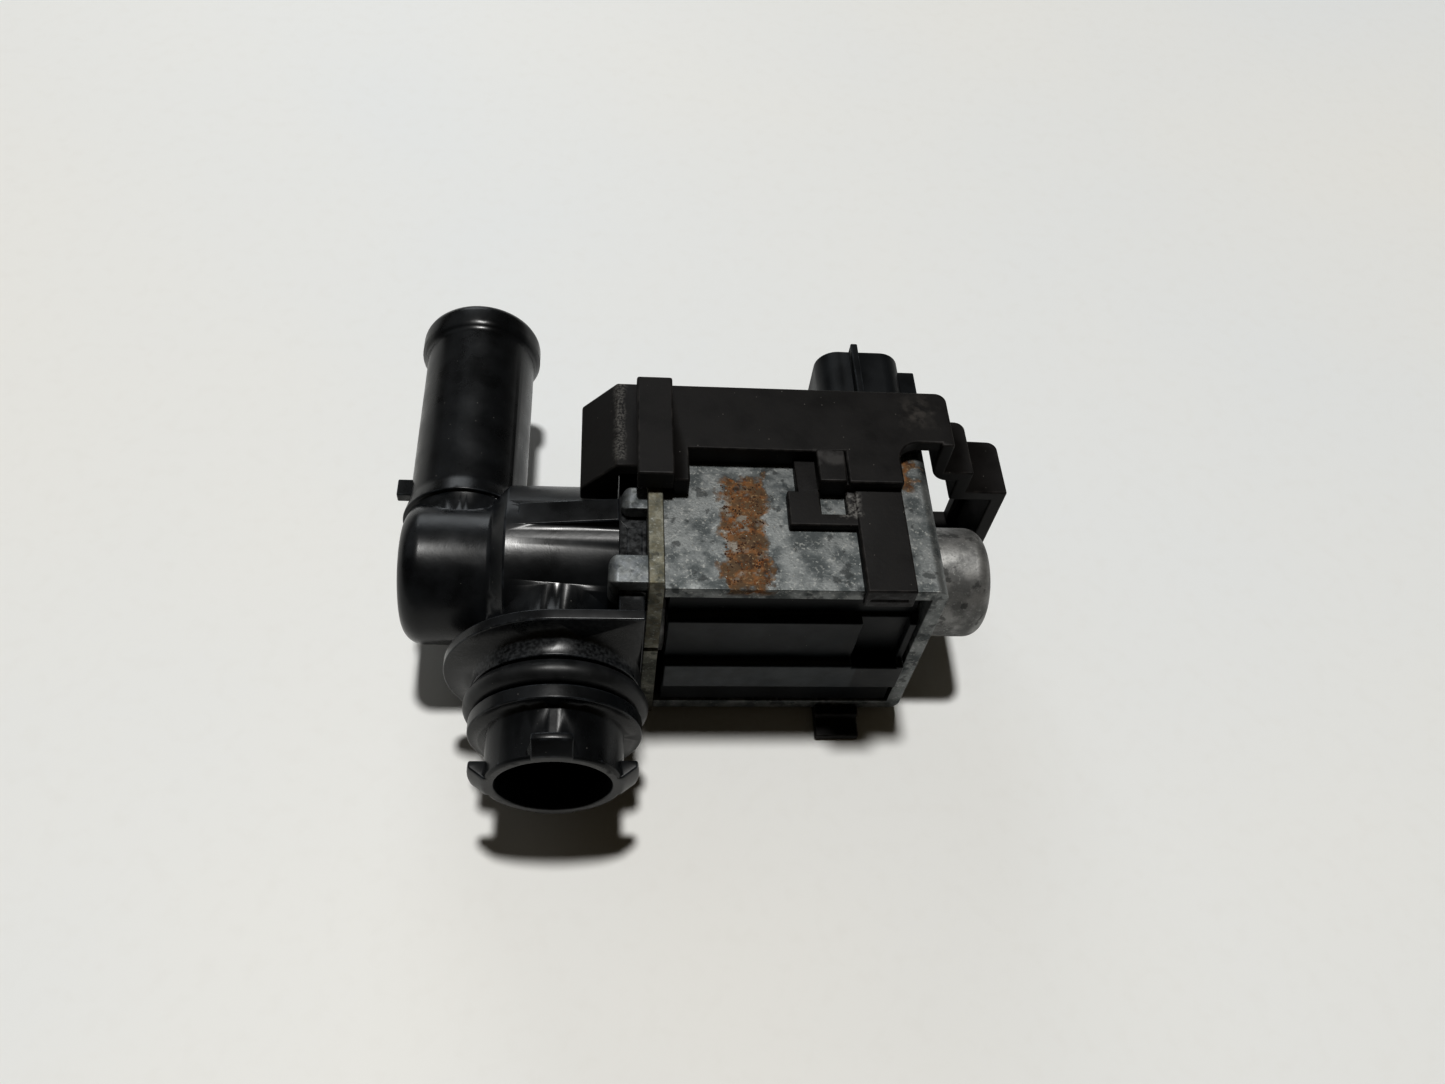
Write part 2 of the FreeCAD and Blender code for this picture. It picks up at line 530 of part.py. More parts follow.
def magnet_parts():
    """The staked core, its guide bush, the push rod, the plunger and the rubber stop."""
    in_can = "can_radius - can_wall - fit_gap"
    finish(turned("fixed_core", [
        ("core_head_left", "bush_outer"), ("core_head_left", "core_head"), ("0", "core_head"),
        ("0", "core_neck"), ("sheet", "core_neck"), ("sheet", in_can), ("core_right", in_can),
        ("core_right", "spring_pocket"), ("core_pocket_x", "spring_pocket"),
        ("core_pocket_x", "bush_outer")]), "fixed_core")
    bush_inner = "rod_radius + running_gap"
    finish(turned("guide_bush", [("core_head_left", bush_inner), ("core_head_left", "bush_outer"),
                                 ("bush_right", "bush_outer"), ("bush_right", bush_inner)]), "guide_bush")
    finish(turned("push_rod", [("rod_left", "0"), ("rod_left", "rod_radius"), ("rod_right", "rod_radius"),
                               ("rod_right", "0")]), "push_rod")
    finish(cut("PlungerCut", plunger_blank(), plunger_grooves()), "plunger")
    pad_right = "can_end - can_wall"
    finish(turned("stop_pad", [("pad_left", "0"), ("pad_left", "pad_radius"), (pad_right, "pad_radius"),
                               (pad_right, "0")]), "stop_pad")


def plunger_blank():
    """The plunger with its spring pocket and the blind hole for the rod."""
    outside = "can_radius - can_wall - plunger_gap"
    return turned("plunger", [
        ("plunger_left", "spring_pocket"), ("plunger_left", outside), ("plunger_right", outside),
        ("plunger_right", "0"), ("rod_right", "0"), ("rod_right", "rod_radius"),
        ("plunger_pocket_x", "rod_radius"), ("plunger_pocket_x", "spring_pocket")])


def plunger_grooves():
    """Two grooves along the plunger that let air past it."""
    length = ("plunger_left", "plunger_right")
    grooves = []
    for side in (1, -1):
        depth = sorted((f"{side} * groove_floor", f"{side} * can_radius"), key=number)
        grooves.append(block(f"Groove{side + 1}", length, ("-groove_half", "groove_half"), depth))
    return joined("PlungerGrooves", grooves)


def valve_disc():
    """The rubber seal on its carrier, held on the rod by a push nut."""
    finish(turned("valve_seal", [
        ("seal_left + running_gap", "rod_radius"), ("seal_left + running_gap", "nut_radius"),
        ("seal_left", "seal_hollow"), ("seal_left", "seal_radius"), ("seal_right", "seal_radius"),
        ("seal_right", "rod_radius")]), "valve_seal")
    finish(turned("seal_carrier", [
        ("seal_right", "rod_radius"), ("seal_right", "carrier_radius"), ("carrier_right", "carrier_radius"),
        ("carrier_right", "hub_radius"), ("hub_right", "hub_radius"), ("hub_right", "rod_radius")]),
        "seal_carrier")
    finish(turned("push_nut", [
        ("nut_left", "rod_radius"), ("nut_left", "nut_nose"), ("seal_left", "nut_radius"),
        ("seal_left + running_gap", "nut_radius"), ("seal_left + running_gap", "rod_radius")]), "push_nut")


def return_spring():
    """The coil spring between the core and the plunger, swept along a helix."""
    start = number("core_pocket_x + 2 * spring_wire")
    length = number("plunger_pocket_x - core_pocket_x - 4 * spring_wire")
    radius = number("spring_radius")
    helix = Part.makeHelix(length / number("spring_turns"), length, radius)
    wire_end = Part.makeCircle(number("spring_wire"), FreeCAD.Vector(radius, 0, 0), FreeCAD.Vector(0, 1, 0))
    spring = doc.addObject("Part::Feature", "ReturnSpring")
    spring.Shape = Part.Wire(helix.Edges).makePipeShell([Part.Wire(wire_end)], True, True)
    spring.Label = "return_spring"
    place = FreeCAD.Vector(start + number("origin_x"), number("origin_y"), 0)
    spring.Placement = FreeCAD.Placement(place, TURN_TO_X)
    SUB_PARTS.append(spring)


def bracket():
    """The plastic bracket: a plate clipped over the yoke, its wing, rib, stepped strap and foot."""
    pieces = bracket_plate() + bracket_arm() + bracket_cover() + [bracket_wing(), bracket_strap()]
    solid = joined("BracketSolid", pieces + bracket_back())
    gaps = joined("BracketGaps", [
        block("LatchWindow", ("window_left", "window_right"), ("window_front", "arm_step_y"),
              ("lip_low", "top_face")),
        block("LatchSlit", ("window_right", "slit_right"), ("window_front", "latch_back"),
              ("slit_low", "latch_top")),
        block("LipLine", ("line_left", "line_right"), ("arm_front", "arm_front + line_depth"),
              ("lip_line - line_half", "lip_line + line_half")),
    ])
    finish(cut("BracketCut", solid, gaps), "mounting_bracket")


def bracket_plate():
    """The top plate in two widths, its front skirt and the rounded inside corner."""
    plate = ("top_under", "top_face")
    strip = block("TopStrip", ("wing_fold", "arm_right"), ("strip_front", "bracket_back"), plate)
    right = block("TopRight", ("arm_right", "strip_right"), ("right_front", "bracket_back"), plate)
    right_round = rounded("TopRightRound", right, "corner_round", lambda edge, mid: (
        at(mid.x, "strip_right") and at(mid.y, "bracket_back")))
    corner = block("CornerBlock", ("arm_right", "arm_right + inner_round"),
                   ("right_front - inner_round", "right_front"), plate)
    hollow = upright_bar("CornerHollow", "inner_round", "arm_right + inner_round",
                         "right_front - inner_round", plate)
    return [
        strip, right_round, cut("CornerWeb", corner, hollow),
        block("Skirt", ("cover_right", "low_strip_left"), ("strip_front", "skirt_back"),
              ("arm_low", "top_under")),
        block("Latch", ("latch_left", "window_right"), ("arm_step_y", "latch_back"),
              ("top_under", "latch_top")),
    ]


def bracket_arm():
    """The arm hooked over the yoke's front edge, with the low pads beside it."""
    arm = ("arm_left", "arm_right")
    return [
        block("ArmRoot", ("latch_left", "arm_right"), ("arm_step_y", "strip_front"),
              ("top_under", "top_face")),
        block("LowRoot", ("latch_left", "arm_right"), ("arm_step_y", "skirt_back"),
              ("arm_low", "top_under")),
        block("LowStrip", ("low_strip_left", "latch_left"), ("arm_step_y", "skirt_back"),
              ("arm_low", "low_top")),
        block("LowPad", ("low_left", "arm_left"), ("low_front", "arm_step_y"), ("arm_low", "low_top")),
        block("Arm", arm, ("arm_front", "arm_step_y"), ("arm_low", "arm_top")),
        block("ArmLip", arm, ("arm_front", "lip_back"), ("lip_low", "arm_low")),
    ]


def bracket_cover():
    """The raised rib that covers the end plate's edge, and the foot beside it."""
    rib = block("Cover", ("cover_left", "cover_right"), ("cover_front", "bracket_back"),
                ("cover_under", "cover_top"))
    return [
        rib,
        block("CoverSide", ("sheet + joint_gap", "cover_right"), ("strip_front", "bracket_back"),
              ("cover_side_low", "top_face")),
        block("CoverFoot", ("cover_right", "foot_right"), ("foot_near", "skirt_back"),
              ("arm_low", "top_face")),
    ]


def bracket_wing():
    """The wing folded down over the barrel, closed at its front."""
    sheet_outline = [("cover_left", "top_under"), ("cover_left", "top_face"), ("wing_fold", "top_face"),
                     ("wing_left", "wing_drop"), ("wing_left", "wing_low"),
                     ("wing_left + wing_wall", "wing_low"),
                     ("wing_left + wing_wall", "wing_drop - wing_offset"),
                     ("wing_fold + wing_offset", "top_under")]
    front_outline = [("cover_left", "top_under"), ("wing_fold", "top_face"), ("wing_left", "wing_drop"),
                     ("wing_left", "wing_low"), ("wing_inner", "wing_low"), ("wing_inner", "top_under")]
    return joined("WingWhole", [
        prism("Wing", sheet_outline, ("wing_front", "bracket_back")),
        prism("WingFront", front_outline, ("wing_front", "wing_front + wing_wall")),
    ])


def bracket_strap():
    """The stepped strap that runs down past the can and back under the connector."""
    profile = [("riser_one", "top_face"), ("riser_one", "tread_one - tread_wall"),
               ("riser_two", "tread_one - tread_wall"), ("riser_two", "tread_two - tread_wall"),
               ("loop_right_wall", "tread_two - tread_wall"), ("loop_right_wall", "loop_floor"),
               ("loop_left", "loop_floor"), ("loop_left", "loop_low"), ("step_two", "loop_low"),
               ("step_two", "tread_two"), ("step_one", "tread_two"), ("step_one", "tread_one"),
               ("strip_right", "tread_one"), ("strip_right", "top_face")]
    strap = prism("Strap", profile, ("strap_front", "bracket_back"))
    inner = rounded("StrapInner", strap, "strap_corner", lambda edge, mid: (
        at(mid.x, "riser_one") and at(mid.z, "tread_one - tread_wall")))
    upper = rounded("StrapUpper", inner, "corner_round", lambda edge, mid: (
        at(mid.x, "strip_right") and at(mid.y, "bracket_back") and runs_along(edge, "z")))
    outer = rounded("StrapOuter", upper, "strap_round", lambda edge, mid: (
        (at(mid.x, "step_one") or at(mid.x, "step_two")) and at(mid.y, "bracket_back")
        and runs_along(edge, "z")))
    back = block("LoopBack", ("loop_back_left", "loop_right_wall"), ("back_wall", "bracket_back"),
                 ("loop_low", "tread_two"))
    return joined("StrapWhole", [outer, back])


def bracket_back():
    """The wall behind the yoke, open round the connector, and the foot clipped under the yoke."""
    wall = ("back_wall", "bracket_back")
    tongue = ("tongue_left", "tongue_right")
    sole = ("sole_low", "sole_top")
    return [
        block("BackWall", ("back_left", "back_window"), wall, ("sole_low", "top_face")),
        block("BackLower", ("back_left", "back_lower_right"), wall, ("sole_low", "loop_floor")),
        block("Sole", ("sole_left", "arm_right"), ("strip_front", "bracket_back"), sole),
        block("Tongue", tongue, ("tongue_front", "strip_front"), sole),
        block("TongueBarb", tongue, ("barb_front", "lip_back"), ("sole_top", "barb_top")),
    ]


def check_and_write():
    """Refuse any failed object or bad solid, then write one STEP file for each sub-part."""
    doc.recompute()
    failed = [item.Name for item in doc.Objects if {"Invalid", "Error"} & set(item.State)]
    if failed:
        raise RuntimeError(f"objects failed: {failed}")
    for item in SUB_PARTS:
        shape = item.Shape
        if shape.isNull() or not shape.isValid() or len(shape.Solids) != 1:
            raise RuntimeError(f"{item.Label}: bad shape with {len(shape.Solids)} solids")
    os.makedirs("parts", exist_ok=True)
    for item in SUB_PARTS:
        item.Shape.exportStep(f"parts/{item.Label}.step")
        box = item.Shape.BoundBox
        print(f"{item.Label:18s} x {box.XMin:7.2f} {box.XMax:7.2f}  y {box.YMin:7.2f} {box.YMax:7.2f}"
              f"  z {box.ZMin:7.2f} {box.ZMax:7.2f}  {item.Shape.Volume / 1000:8.3f} cm3")


valve_body()
rubber_rings()
end_plate()
yoke()
can()
coil()
coil_case()
terminal_pins()
magnet_parts()
valve_disc()
return_spring()
bracket()
check_and_write()
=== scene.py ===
"""A solenoid air valve with a hose pipe, a snap-in spigot and a clip-on bracket, dressed for show.

Lengths in the dataclass fields are millimetres from the datum: the coil's axis, where it meets the
end plate's face against the valve body. X runs along the coil, +Y along the hose pipe, +Z up.
"""
import json
import logging
import math
from dataclasses import dataclass, field
from enum import Enum

import bmesh
import bpy
from mathutils import Matrix, Vector


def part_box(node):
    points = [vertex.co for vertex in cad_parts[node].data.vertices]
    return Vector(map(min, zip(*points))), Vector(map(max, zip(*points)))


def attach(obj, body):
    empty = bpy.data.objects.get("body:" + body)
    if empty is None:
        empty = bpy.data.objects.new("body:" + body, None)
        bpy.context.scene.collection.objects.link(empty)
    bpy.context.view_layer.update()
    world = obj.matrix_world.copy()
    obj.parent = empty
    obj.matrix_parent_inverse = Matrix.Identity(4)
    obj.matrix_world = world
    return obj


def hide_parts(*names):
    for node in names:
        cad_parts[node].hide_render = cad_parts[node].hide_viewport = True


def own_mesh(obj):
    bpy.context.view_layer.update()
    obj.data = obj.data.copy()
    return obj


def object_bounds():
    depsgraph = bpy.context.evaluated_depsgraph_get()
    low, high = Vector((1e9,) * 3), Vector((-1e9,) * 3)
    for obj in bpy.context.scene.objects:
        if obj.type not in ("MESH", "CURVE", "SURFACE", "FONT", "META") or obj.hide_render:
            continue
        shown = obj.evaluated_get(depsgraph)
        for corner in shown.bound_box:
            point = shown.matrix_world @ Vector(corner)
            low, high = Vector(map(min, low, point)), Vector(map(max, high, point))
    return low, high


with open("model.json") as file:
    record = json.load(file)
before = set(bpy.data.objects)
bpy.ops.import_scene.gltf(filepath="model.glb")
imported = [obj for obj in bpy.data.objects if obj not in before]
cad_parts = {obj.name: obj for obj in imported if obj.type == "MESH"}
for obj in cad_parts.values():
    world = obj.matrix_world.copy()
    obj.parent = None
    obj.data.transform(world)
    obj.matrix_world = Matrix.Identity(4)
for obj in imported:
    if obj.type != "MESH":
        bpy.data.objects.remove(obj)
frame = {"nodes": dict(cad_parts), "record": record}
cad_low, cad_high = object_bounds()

MM = 0.001
Triple = tuple[float, float, float]
Colour = tuple[float, float, float]
Socket = bpy.types.NodeSocket
Piece = bpy.types.Object
Material = bpy.types.Material
log = logging.getLogger("valve")

# Edges that turn by less than this are shaded smooth.
SMOOTH_BELOW = math.radians(40)
DUST = (0.24, 0.23, 0.21)
RUBBER_DUST = (0.16, 0.16, 0.15)
WHITE_SALT = (0.38, 0.385, 0.37)
RUST_DARK, RUST_BRIGHT = (0.085, 0.040, 0.018), (0.24, 0.098, 0.028)
RUST_OLD, RUST_DRY, RUST_HALO = (0.052, 0.034, 0.023), (0.30, 0.22, 0.13), (0.22, 0.15, 0.08)

plate_low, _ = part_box("end_plate")
can_low, can_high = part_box("armature_can")
DATUM = Vector((plate_low.x, (can_low.y + can_high.y) / 2, 0.0))


class Body(Enum):
    """The two bodies that a piece can ride on."""

    HOUSING = "housing"
    ARMATURE = "armature"


class Axis(Enum):
    """An axis of the part, as the output that a Separate XYZ node gives for it."""

    X = "X"
    Y = "Y"
    Z = "Z"


def place(x: float, y: float, z: float) -> Vector:
    """Turn millimetres from the datum into a point of the frame.

    Args:
        x: Distance along the coil's axis.
        y: Distance along the hose pipe.
        z: Height above the coil's axis.

    Returns:
        The point in metres.
    """
    return DATUM + Vector((x, y, z)) * MM


class Shader:
    """The node tree of one material, read in millimetres from the datum."""

    def __init__(self, name: str) -> None:
        """Start a material whose patterns are fixed to the part.

        Args:
            name: The material's name.
        """
        self.material = bpy.data.materials.new(name)
        self.material.use_nodes = True
        self.tree = self.material.node_tree
        self.surface = self.tree.nodes["Principled BSDF"]
        coordinates = self.tree.nodes.new("ShaderNodeTexCoord")
        mapping = self.tree.nodes.new("ShaderNodeMapping")
        mapping.inputs["Scale"].default_value = (1 / MM,) * 3
        mapping.inputs["Location"].default_value = -DATUM / MM
        self.link(coordinates.outputs["Object"], mapping.inputs["Vector"])
        self.where = mapping.outputs["Vector"]

    def link(self, source: Socket, target: Socket) -> None:
        """Join an output to an input."""
        self.tree.links.new(source, target)

    def feed(self, target: Socket, value: "Socket | float") -> None:
        """Give an input a link or a fixed value.

        Args:
            target: The input.
            value: An output to link, or a number.
        """
        if isinstance(value, Socket):
            self.link(value, target)
        else:
            target.default_value = value

    def noise(self, per_mm: float, detail: float = 3.0, stretch: Triple = (1, 1, 1)) -> Socket:
        """Make a cloudy pattern.

        Args:
            per_mm: How many blobs there are in a millimetre.
            detail: How many finer layers are added.
            stretch: Scale of the pattern along each axis.

        Returns:
            A value from 0 to 1.
        """
        texture = self.tree.nodes.new("ShaderNodeTexNoise")
        texture.inputs["Scale"].default_value = per_mm
        texture.inputs["Detail"].default_value = detail
        source = self.where
        if stretch != (1, 1, 1):
            mapping = self.tree.nodes.new("ShaderNodeMapping")
            mapping.inputs["Scale"].default_value = stretch
            self.link(source, mapping.inputs["Vector"])
            source = mapping.outputs["Vector"]
        self.link(source, texture.inputs["Vector"])
        return texture.outputs["Fac"]

    def specks(self, per_mm: float, size: float, share: float) -> Socket:
        """Make round specks that sit in some of the cells of a pattern.

        Args:
            per_mm: How many cells there are in a millimetre.
            size: A speck's radius as a share of its cell.
            share: The share of cells that hold a speck.

        Returns:
            1 in a speck and 0 outside, with a soft edge.
        """
        cells = self.tree.nodes.new("ShaderNodeTexVoronoi")
        cells.inputs["Scale"].default_value = per_mm
        self.link(self.where, cells.inputs["Vector"])
        chosen = self.tree.nodes.new("ShaderNodeSeparateColor")
        self.link(cells.outputs["Color"], chosen.inputs["Color"])
        inside = self.ramp(cells.outputs["Distance"], size, size * 0.5)
        return self.times(inside, self.ramp(chosen.outputs["Red"], 1 - share, 1 - share * 0.8))

    def along(self, axis: Axis, wander: float = 0.0) -> Socket:
        """Measure the distance from the datum along an axis.

        Args:
            axis: The axis.
            wander: How far, in millimetres, the reading strays from place to place.

        Returns:
            The distance in millimetres.
        """
        parts = self.tree.nodes.new("ShaderNodeSeparateXYZ")
        self.link(self.where, parts.inputs["Vector"])
        if not wander:
            return parts.outputs[axis.value]
        stray = self.ramp(self.noise(0.55, 5.0), 0.25, 0.75, -wander, wander, clamp=False)
        return self.plus(parts.outputs[axis.value], stray)

    def ramp(self, value: Socket, start: float, end: float, low: float = 0.0,
             high: float = 1.0, clamp: bool = True) -> Socket:
        """Carry a value from one range to another.

        Args:
            value: The value to carry.
            start: Reading that gives low.
            end: Reading that gives high.
            low: Result at the start.
            high: Result at the end.
            clamp: Whether the result stays between low and high.

        Returns:
            The carried value.
        """
        node = self.tree.nodes.new("ShaderNodeMapRange")
        node.clamp = clamp
        self.link(value, node.inputs["Value"])
        for name, number in (("From Min", start), ("From Max", end), ("To Min", low), ("To Max", high)):
            node.inputs[name].default_value = number
        return node.outputs["Result"]

    def combine(self, kind: str, first: "Socket | float",
                second: "Socket | float") -> Socket:
        """Join two values with one step of arithmetic.

        Args:
            kind: The Math node's operation.
            first: Its first value.
            second: Its second value.

        Returns:
            The result.
        """
        node = self.tree.nodes.new("ShaderNodeMath")
        node.operation = kind
        self.feed(node.inputs[0], first)
        self.feed(node.inputs[1], second)
        return node.outputs["Value"]

    def times(self, first: "Socket | float",
              second: "Socket | float") -> Socket:
        """Multiply two values."""
        return self.combine("MULTIPLY", first, second)

    def plus(self, first: "Socket | float",
             second: "Socket | float") -> Socket:
        """Add two values."""
        return self.combine("ADD", first, second)

    def rounded_edge_mask(self) -> Socket:
        """Read the mark that rounding leaves on a piece's edges.

        Returns:
            1 on a rounded edge and 0 elsewhere.
        """
        mark = self.tree.nodes.new("ShaderNodeAttribute")
        mark.attribute_name = "rounded_edge"
        return mark.outputs["Fac"]

    def within(self, low: Triple, high: Triple, soft: float, wander: float = 0.0) -> Socket:
        """Mark a box-shaped region.

        Args:
            low: Its lowest corner.
            high: Its highest corner.
            soft: Width of its soft edge.
            wander: How far its outline strays.

        Returns:
            1 inside and 0 outside.
        """
        mask: "Socket | float" = 1.0
        for axis, start, end in zip(Axis, low, high):
            reading = self.along(axis, wander if axis is not Axis.Z else 0.0)
            mask = self.times(self.ramp(reading, start - soft, start + soft), mask)
            mask = self.times(self.ramp(reading, end + soft, end - soft), mask)
        return mask

    def mix(self, factor: Socket, under: "Socket | Colour",
            over: "Socket | Colour") -> Socket:
        """Lay one colour over another.

        Args:
            factor: How much of the upper colour shows.
            under: The lower colour.
            over: The upper colour.

        Returns:
            The colour that shows.
        """
        node = self.tree.nodes.new("ShaderNodeMix")
        node.data_type = "RGBA"
        self.link(factor, node.inputs[0])
        for socket, colour in ((node.inputs[6], under), (node.inputs[7], over)):
            if isinstance(colour, Socket):
                self.link(colour, socket)
            else:
                socket.default_value = (*colour, 1.0)
        return node.outputs[2]

    def relief(self, height: Socket, depth: float) -> None:
        """Raise the surface by a height pattern; a later call adds to an earlier one.

        Args:
            height: The pattern, from 0 to 1.
            depth: Depth in millimetres.
        """
        node = self.tree.nodes.new("ShaderNodeBump")
        node.inputs["Strength"].default_value = 1.0
        node.inputs["Distance"].default_value = depth * MM
        self.link(height, node.inputs["Height"])
        earlier = self.surface.inputs["Normal"]
        if earlier.is_linked:
            self.link(earlier.links[0].from_socket, node.inputs["Normal"])
        self.link(node.outputs["Normal"], earlier)


@dataclass(frozen=True)
class Mark:
    """A patch laid over a surface's colour: some are scuffs, dust or stains, and some are painted light,
    shade or reflection.

    Args:
        low: Lowest corner of the patch.
        high: Highest corner.
        colour: Colour of the mark.
        strength: How much of it shows.
        soft: Width of its soft edge.
        wander: How far its outline strays.
        per_mm: Fineness of the gaps in it.
        cover: Share of it that shows even in the gaps.
    """

    low: Triple
    high: Triple
    colour: Colour
    strength: float = 0.6
    soft: float = 0.4
    wander: float = 0.6
    per_mm: float = 1.6
    cover: float = 0.0


def lay_marks(shader: Shader, colour: Socket, marks: tuple[Mark, ...]) -> Socket:
    """Lay a set of marks over a colour.

    Args:
        shader: The material's tree.
        colour: The clean colour.
        marks: The marks.

    Returns:
        The marked colour.
    """
    for mark in marks:
        area = shader.within(mark.low, mark.high, mark.soft, mark.wander)
        gaps = shader.ramp(shader.noise(mark.per_mm, 6.0), 0.40, 0.62, mark.cover * mark.strength,
                           mark.strength)
        colour = shader.mix(shader.times(area, gaps), colour, mark.colour)
    return colour


@dataclass(frozen=True)
class MouldedNylon:
    """Glass-filled nylon: black, with fine fibres in its skin and rounded edges painted a little paler,
    partly as rubbing and partly as a painted highlight.

    Args:
        name: The material's name.
        colour: Its base colour.
        bloom: Paler colour of the fibres, dust and rounded edges, where it stands for both rubbing and a
            painted highlight.
        roughness: Roughness of the clean skin.
        grain: Depth of the skin's grain.
        dust: Share of the pattern's cells that hold a pale speck.
        marks: Scuffs and stains, and patches of painted light and reflection.
        gloss: How strongly the skin reflects, where 0.5 is plain plastic.
    """

    name: str
    colour: Colour
    bloom: Colour
    roughness: float = 0.36
    grain: float = 0.012
    dust: float = 0.05
    marks: tuple[Mark, ...] = ()
    gloss: float = 0.35

    def make(self) -> Material:
        """Build the material.

        Returns:
            The material.
        """
        shader = Shader(self.name)
        clouds = shader.noise(0.22, 4.0)
        fibres = shader.noise(7.0, 2.0, (1.0, 0.35, 1.0))
        colour = shader.mix(shader.ramp(clouds, 0.35, 0.8, 0.0, 0.30), self.colour, self.bloom)
        colour = shader.mix(shader.ramp(fibres, 0.58, 0.75, 0.0, 0.22), colour, self.bloom)
        # Rounded edges painted paler: partly rubbing, partly a painted highlight.
        rubbed_and_highlit = shader.times(shader.rounded_edge_mask(), shader.ramp(shader.noise(0.8, 5.0), 0.42, 0.62, 0.05, 0.9))
        colour = shader.mix(rubbed_and_highlit, colour, self.bloom)
        colour = lay_marks(shader, colour, self.marks)
        specks = shader.specks(1.7, 0.17, self.dust)
        colour = shader.mix(shader.times(specks, 0.5), colour, DUST)
        shader.link(colour, shader.surface.inputs["Base Color"])
        sheen = shader.ramp(clouds, 0.3, 0.75, self.roughness - 0.06, self.roughness + 0.10)
        shader.link(shader.plus(sheen, shader.times(specks, 0.3)), shader.surface.inputs["Roughness"])
        shader.surface.inputs["Specular IOR Level"].default_value = self.gloss
        shader.relief(fibres, self.grain)
        shader.relief(shader.noise(1.3, 3.0), self.grain * 2)
        return shader.material


@dataclass(frozen=True)
class PlatedSteel:
    """Zinc-plated sheet steel, dulled to a mottled grey, with rust where the plating has gone.

    Args:
        name: The material's name.
        light: Colour of the paler spangles.
        dark: Colour of the darker spangles.
        roughness: Roughness of the sound plating.
        rust: Lowest and highest corner of each rusted strip.
        flecks: How readily white zinc corrosion shows, from 0 up.
        marks: Other stains, and patches of painted shadow.
    """

    name: str
    light: Colour
    dark: Colour
    roughness: float = 0.5
    rust: tuple[tuple[Triple, Triple], ...] = ()
    flecks: float = 0.10
    marks: tuple[Mark, ...] = ()

    def make(self) -> Material:
        """Build the material.

        Returns:
            The material.
        """
        shader = Shader(self.name)
        spangle = shader.noise(0.34, 12.0)
        fine = shader.noise(3.2, 8.0)
        colour = shader.mix(shader.ramp(spangle, 0.40, 0.58), self.dark, self.light)
        colour = shader.mix(shader.ramp(fine, 0.52, 0.72, 0.0, 0.55), colour, self.dark)
        colour = shader.mix(shader.ramp(shader.noise(2.2, 5.0), 0.60, 0.70, 0.0, 0.6), colour, self.light)
        flecks = shader.ramp(shader.noise(2.4, 9.0), 0.61 - self.flecks * 0.2, 0.68, 0.0, 0.6)
        colour = shader.mix(flecks, colour, WHITE_SALT)
        scratches = shader.ramp(shader.noise(1.6, 6.0, (0.35, 2.6, 1.0)), 0.60, 0.68, 0.0, 0.45)
        colour = shader.mix(scratches, colour, self.light)
        stains = shader.ramp(shader.noise(0.55, 12.0), 0.41, 0.35, 0.0, 0.7)
        colour = shader.mix(stains, colour, tuple(part * 0.4 for part in self.dark))
        colour = lay_marks(shader, colour, self.marks)
        rough: "Socket | float" = shader.ramp(spangle, 0.3, 0.7, self.roughness + 0.1,
                                                            self.roughness - 0.08)
        metal: "Socket | float" = shader.ramp(fine, 0.5, 0.8, 0.75, 0.35)
        shader.relief(fine, 0.02)
        shader.relief(spangle, 0.03)
        for low, high in self.rust:
            area = shader.within(low, high, 0.35, 1.5)
            crust = shader.times(area, shader.ramp(shader.noise(0.42, 10.0), 0.36, 0.44))
            orange = shader.mix(shader.ramp(shader.noise(1.2, 8.0), 0.42, 0.58), RUST_DARK, RUST_BRIGHT)
            old = shader.ramp(shader.noise(0.42, 10.0), 0.46, 0.54, 0.0, 0.85)
            orange = shader.mix(old, orange, RUST_OLD)
            orange = shader.mix(shader.ramp(shader.noise(2.1, 6.0), 0.58, 0.66), orange, RUST_DRY)
            colour = shader.mix(crust, colour, orange)
            halo = shader.times(area, shader.ramp(shader.noise(0.8, 4.0), 0.35, 0.5, 0.0, 0.35))
            colour = shader.mix(halo, colour, RUST_HALO)
            rough = shader.plus(rough, shader.times(crust, 0.4))
            metal = shader.times(metal, shader.ramp(crust, 0.0, 0.5, 1.0, 0.0))
            shader.relief(shader.times(crust, shader.noise(3.0, 5.0)), 0.12)
        shader.link(colour, shader.surface.inputs["Base Color"])
        shader.link(rough, shader.surface.inputs["Roughness"])
        shader.link(metal, shader.surface.inputs["Metallic"])
        return shader.material


@dataclass(frozen=True)
class Crust:
    """Dry corrosion: loose grains of rust or of white zinc salt.

    Args:
        name: The material's name.
        light: Colour of the fresh grains.
        dark: Colour of the old grains.
    """

    name: str
    light: Colour
    dark: Colour

    def make(self) -> Material:
        """Build the material.

        Returns:
            The material.
        """
        shader = Shader(self.name)
        colour = shader.mix(shader.ramp(shader.noise(0.9, 6.0), 0.40, 0.60), self.dark, self.light)
        shader.link(colour, shader.surface.inputs["Base Color"])
        shader.surface.inputs["Roughness"].default_value = 0.9
        shader.relief(shader.noise(9.0, 3.0), 0.03)
        return shader.material


@dataclass(frozen=True)
class TurnedMetal:
    """Machined or drawn metal, with fine lines round the coil's axis.

    Args:
        name: The material's name.
        colour: Its colour.
        roughness: Its mean roughness.
        lines: Scale of the tool lines along each axis.
    """

    name: str
    colour: Colour
    roughness: float = 0.34
    lines: Triple = (6.0, 0.4, 0.4)

    def make(self) -> Material:
        """Build the material.

        Returns:
            The material.
        """
        shader = Shader(self.name)
        streaks = shader.noise(1.0, 4.0, self.lines)
        dull = tuple(part * 0.62 for part in self.colour)
        colour = shader.mix(shader.ramp(streaks, 0.4, 0.65), self.colour, dull)
        shader.link(colour, shader.surface.inputs["Base Color"])
        shader.link(shader.ramp(streaks, 0.3, 0.7, self.roughness - 0.1, self.roughness + 0.12),
                    shader.surface.inputs["Roughness"])
        shader.surface.inputs["Metallic"].default_value = 1.0
        shader.relief(streaks, 0.008)
        return shader.material


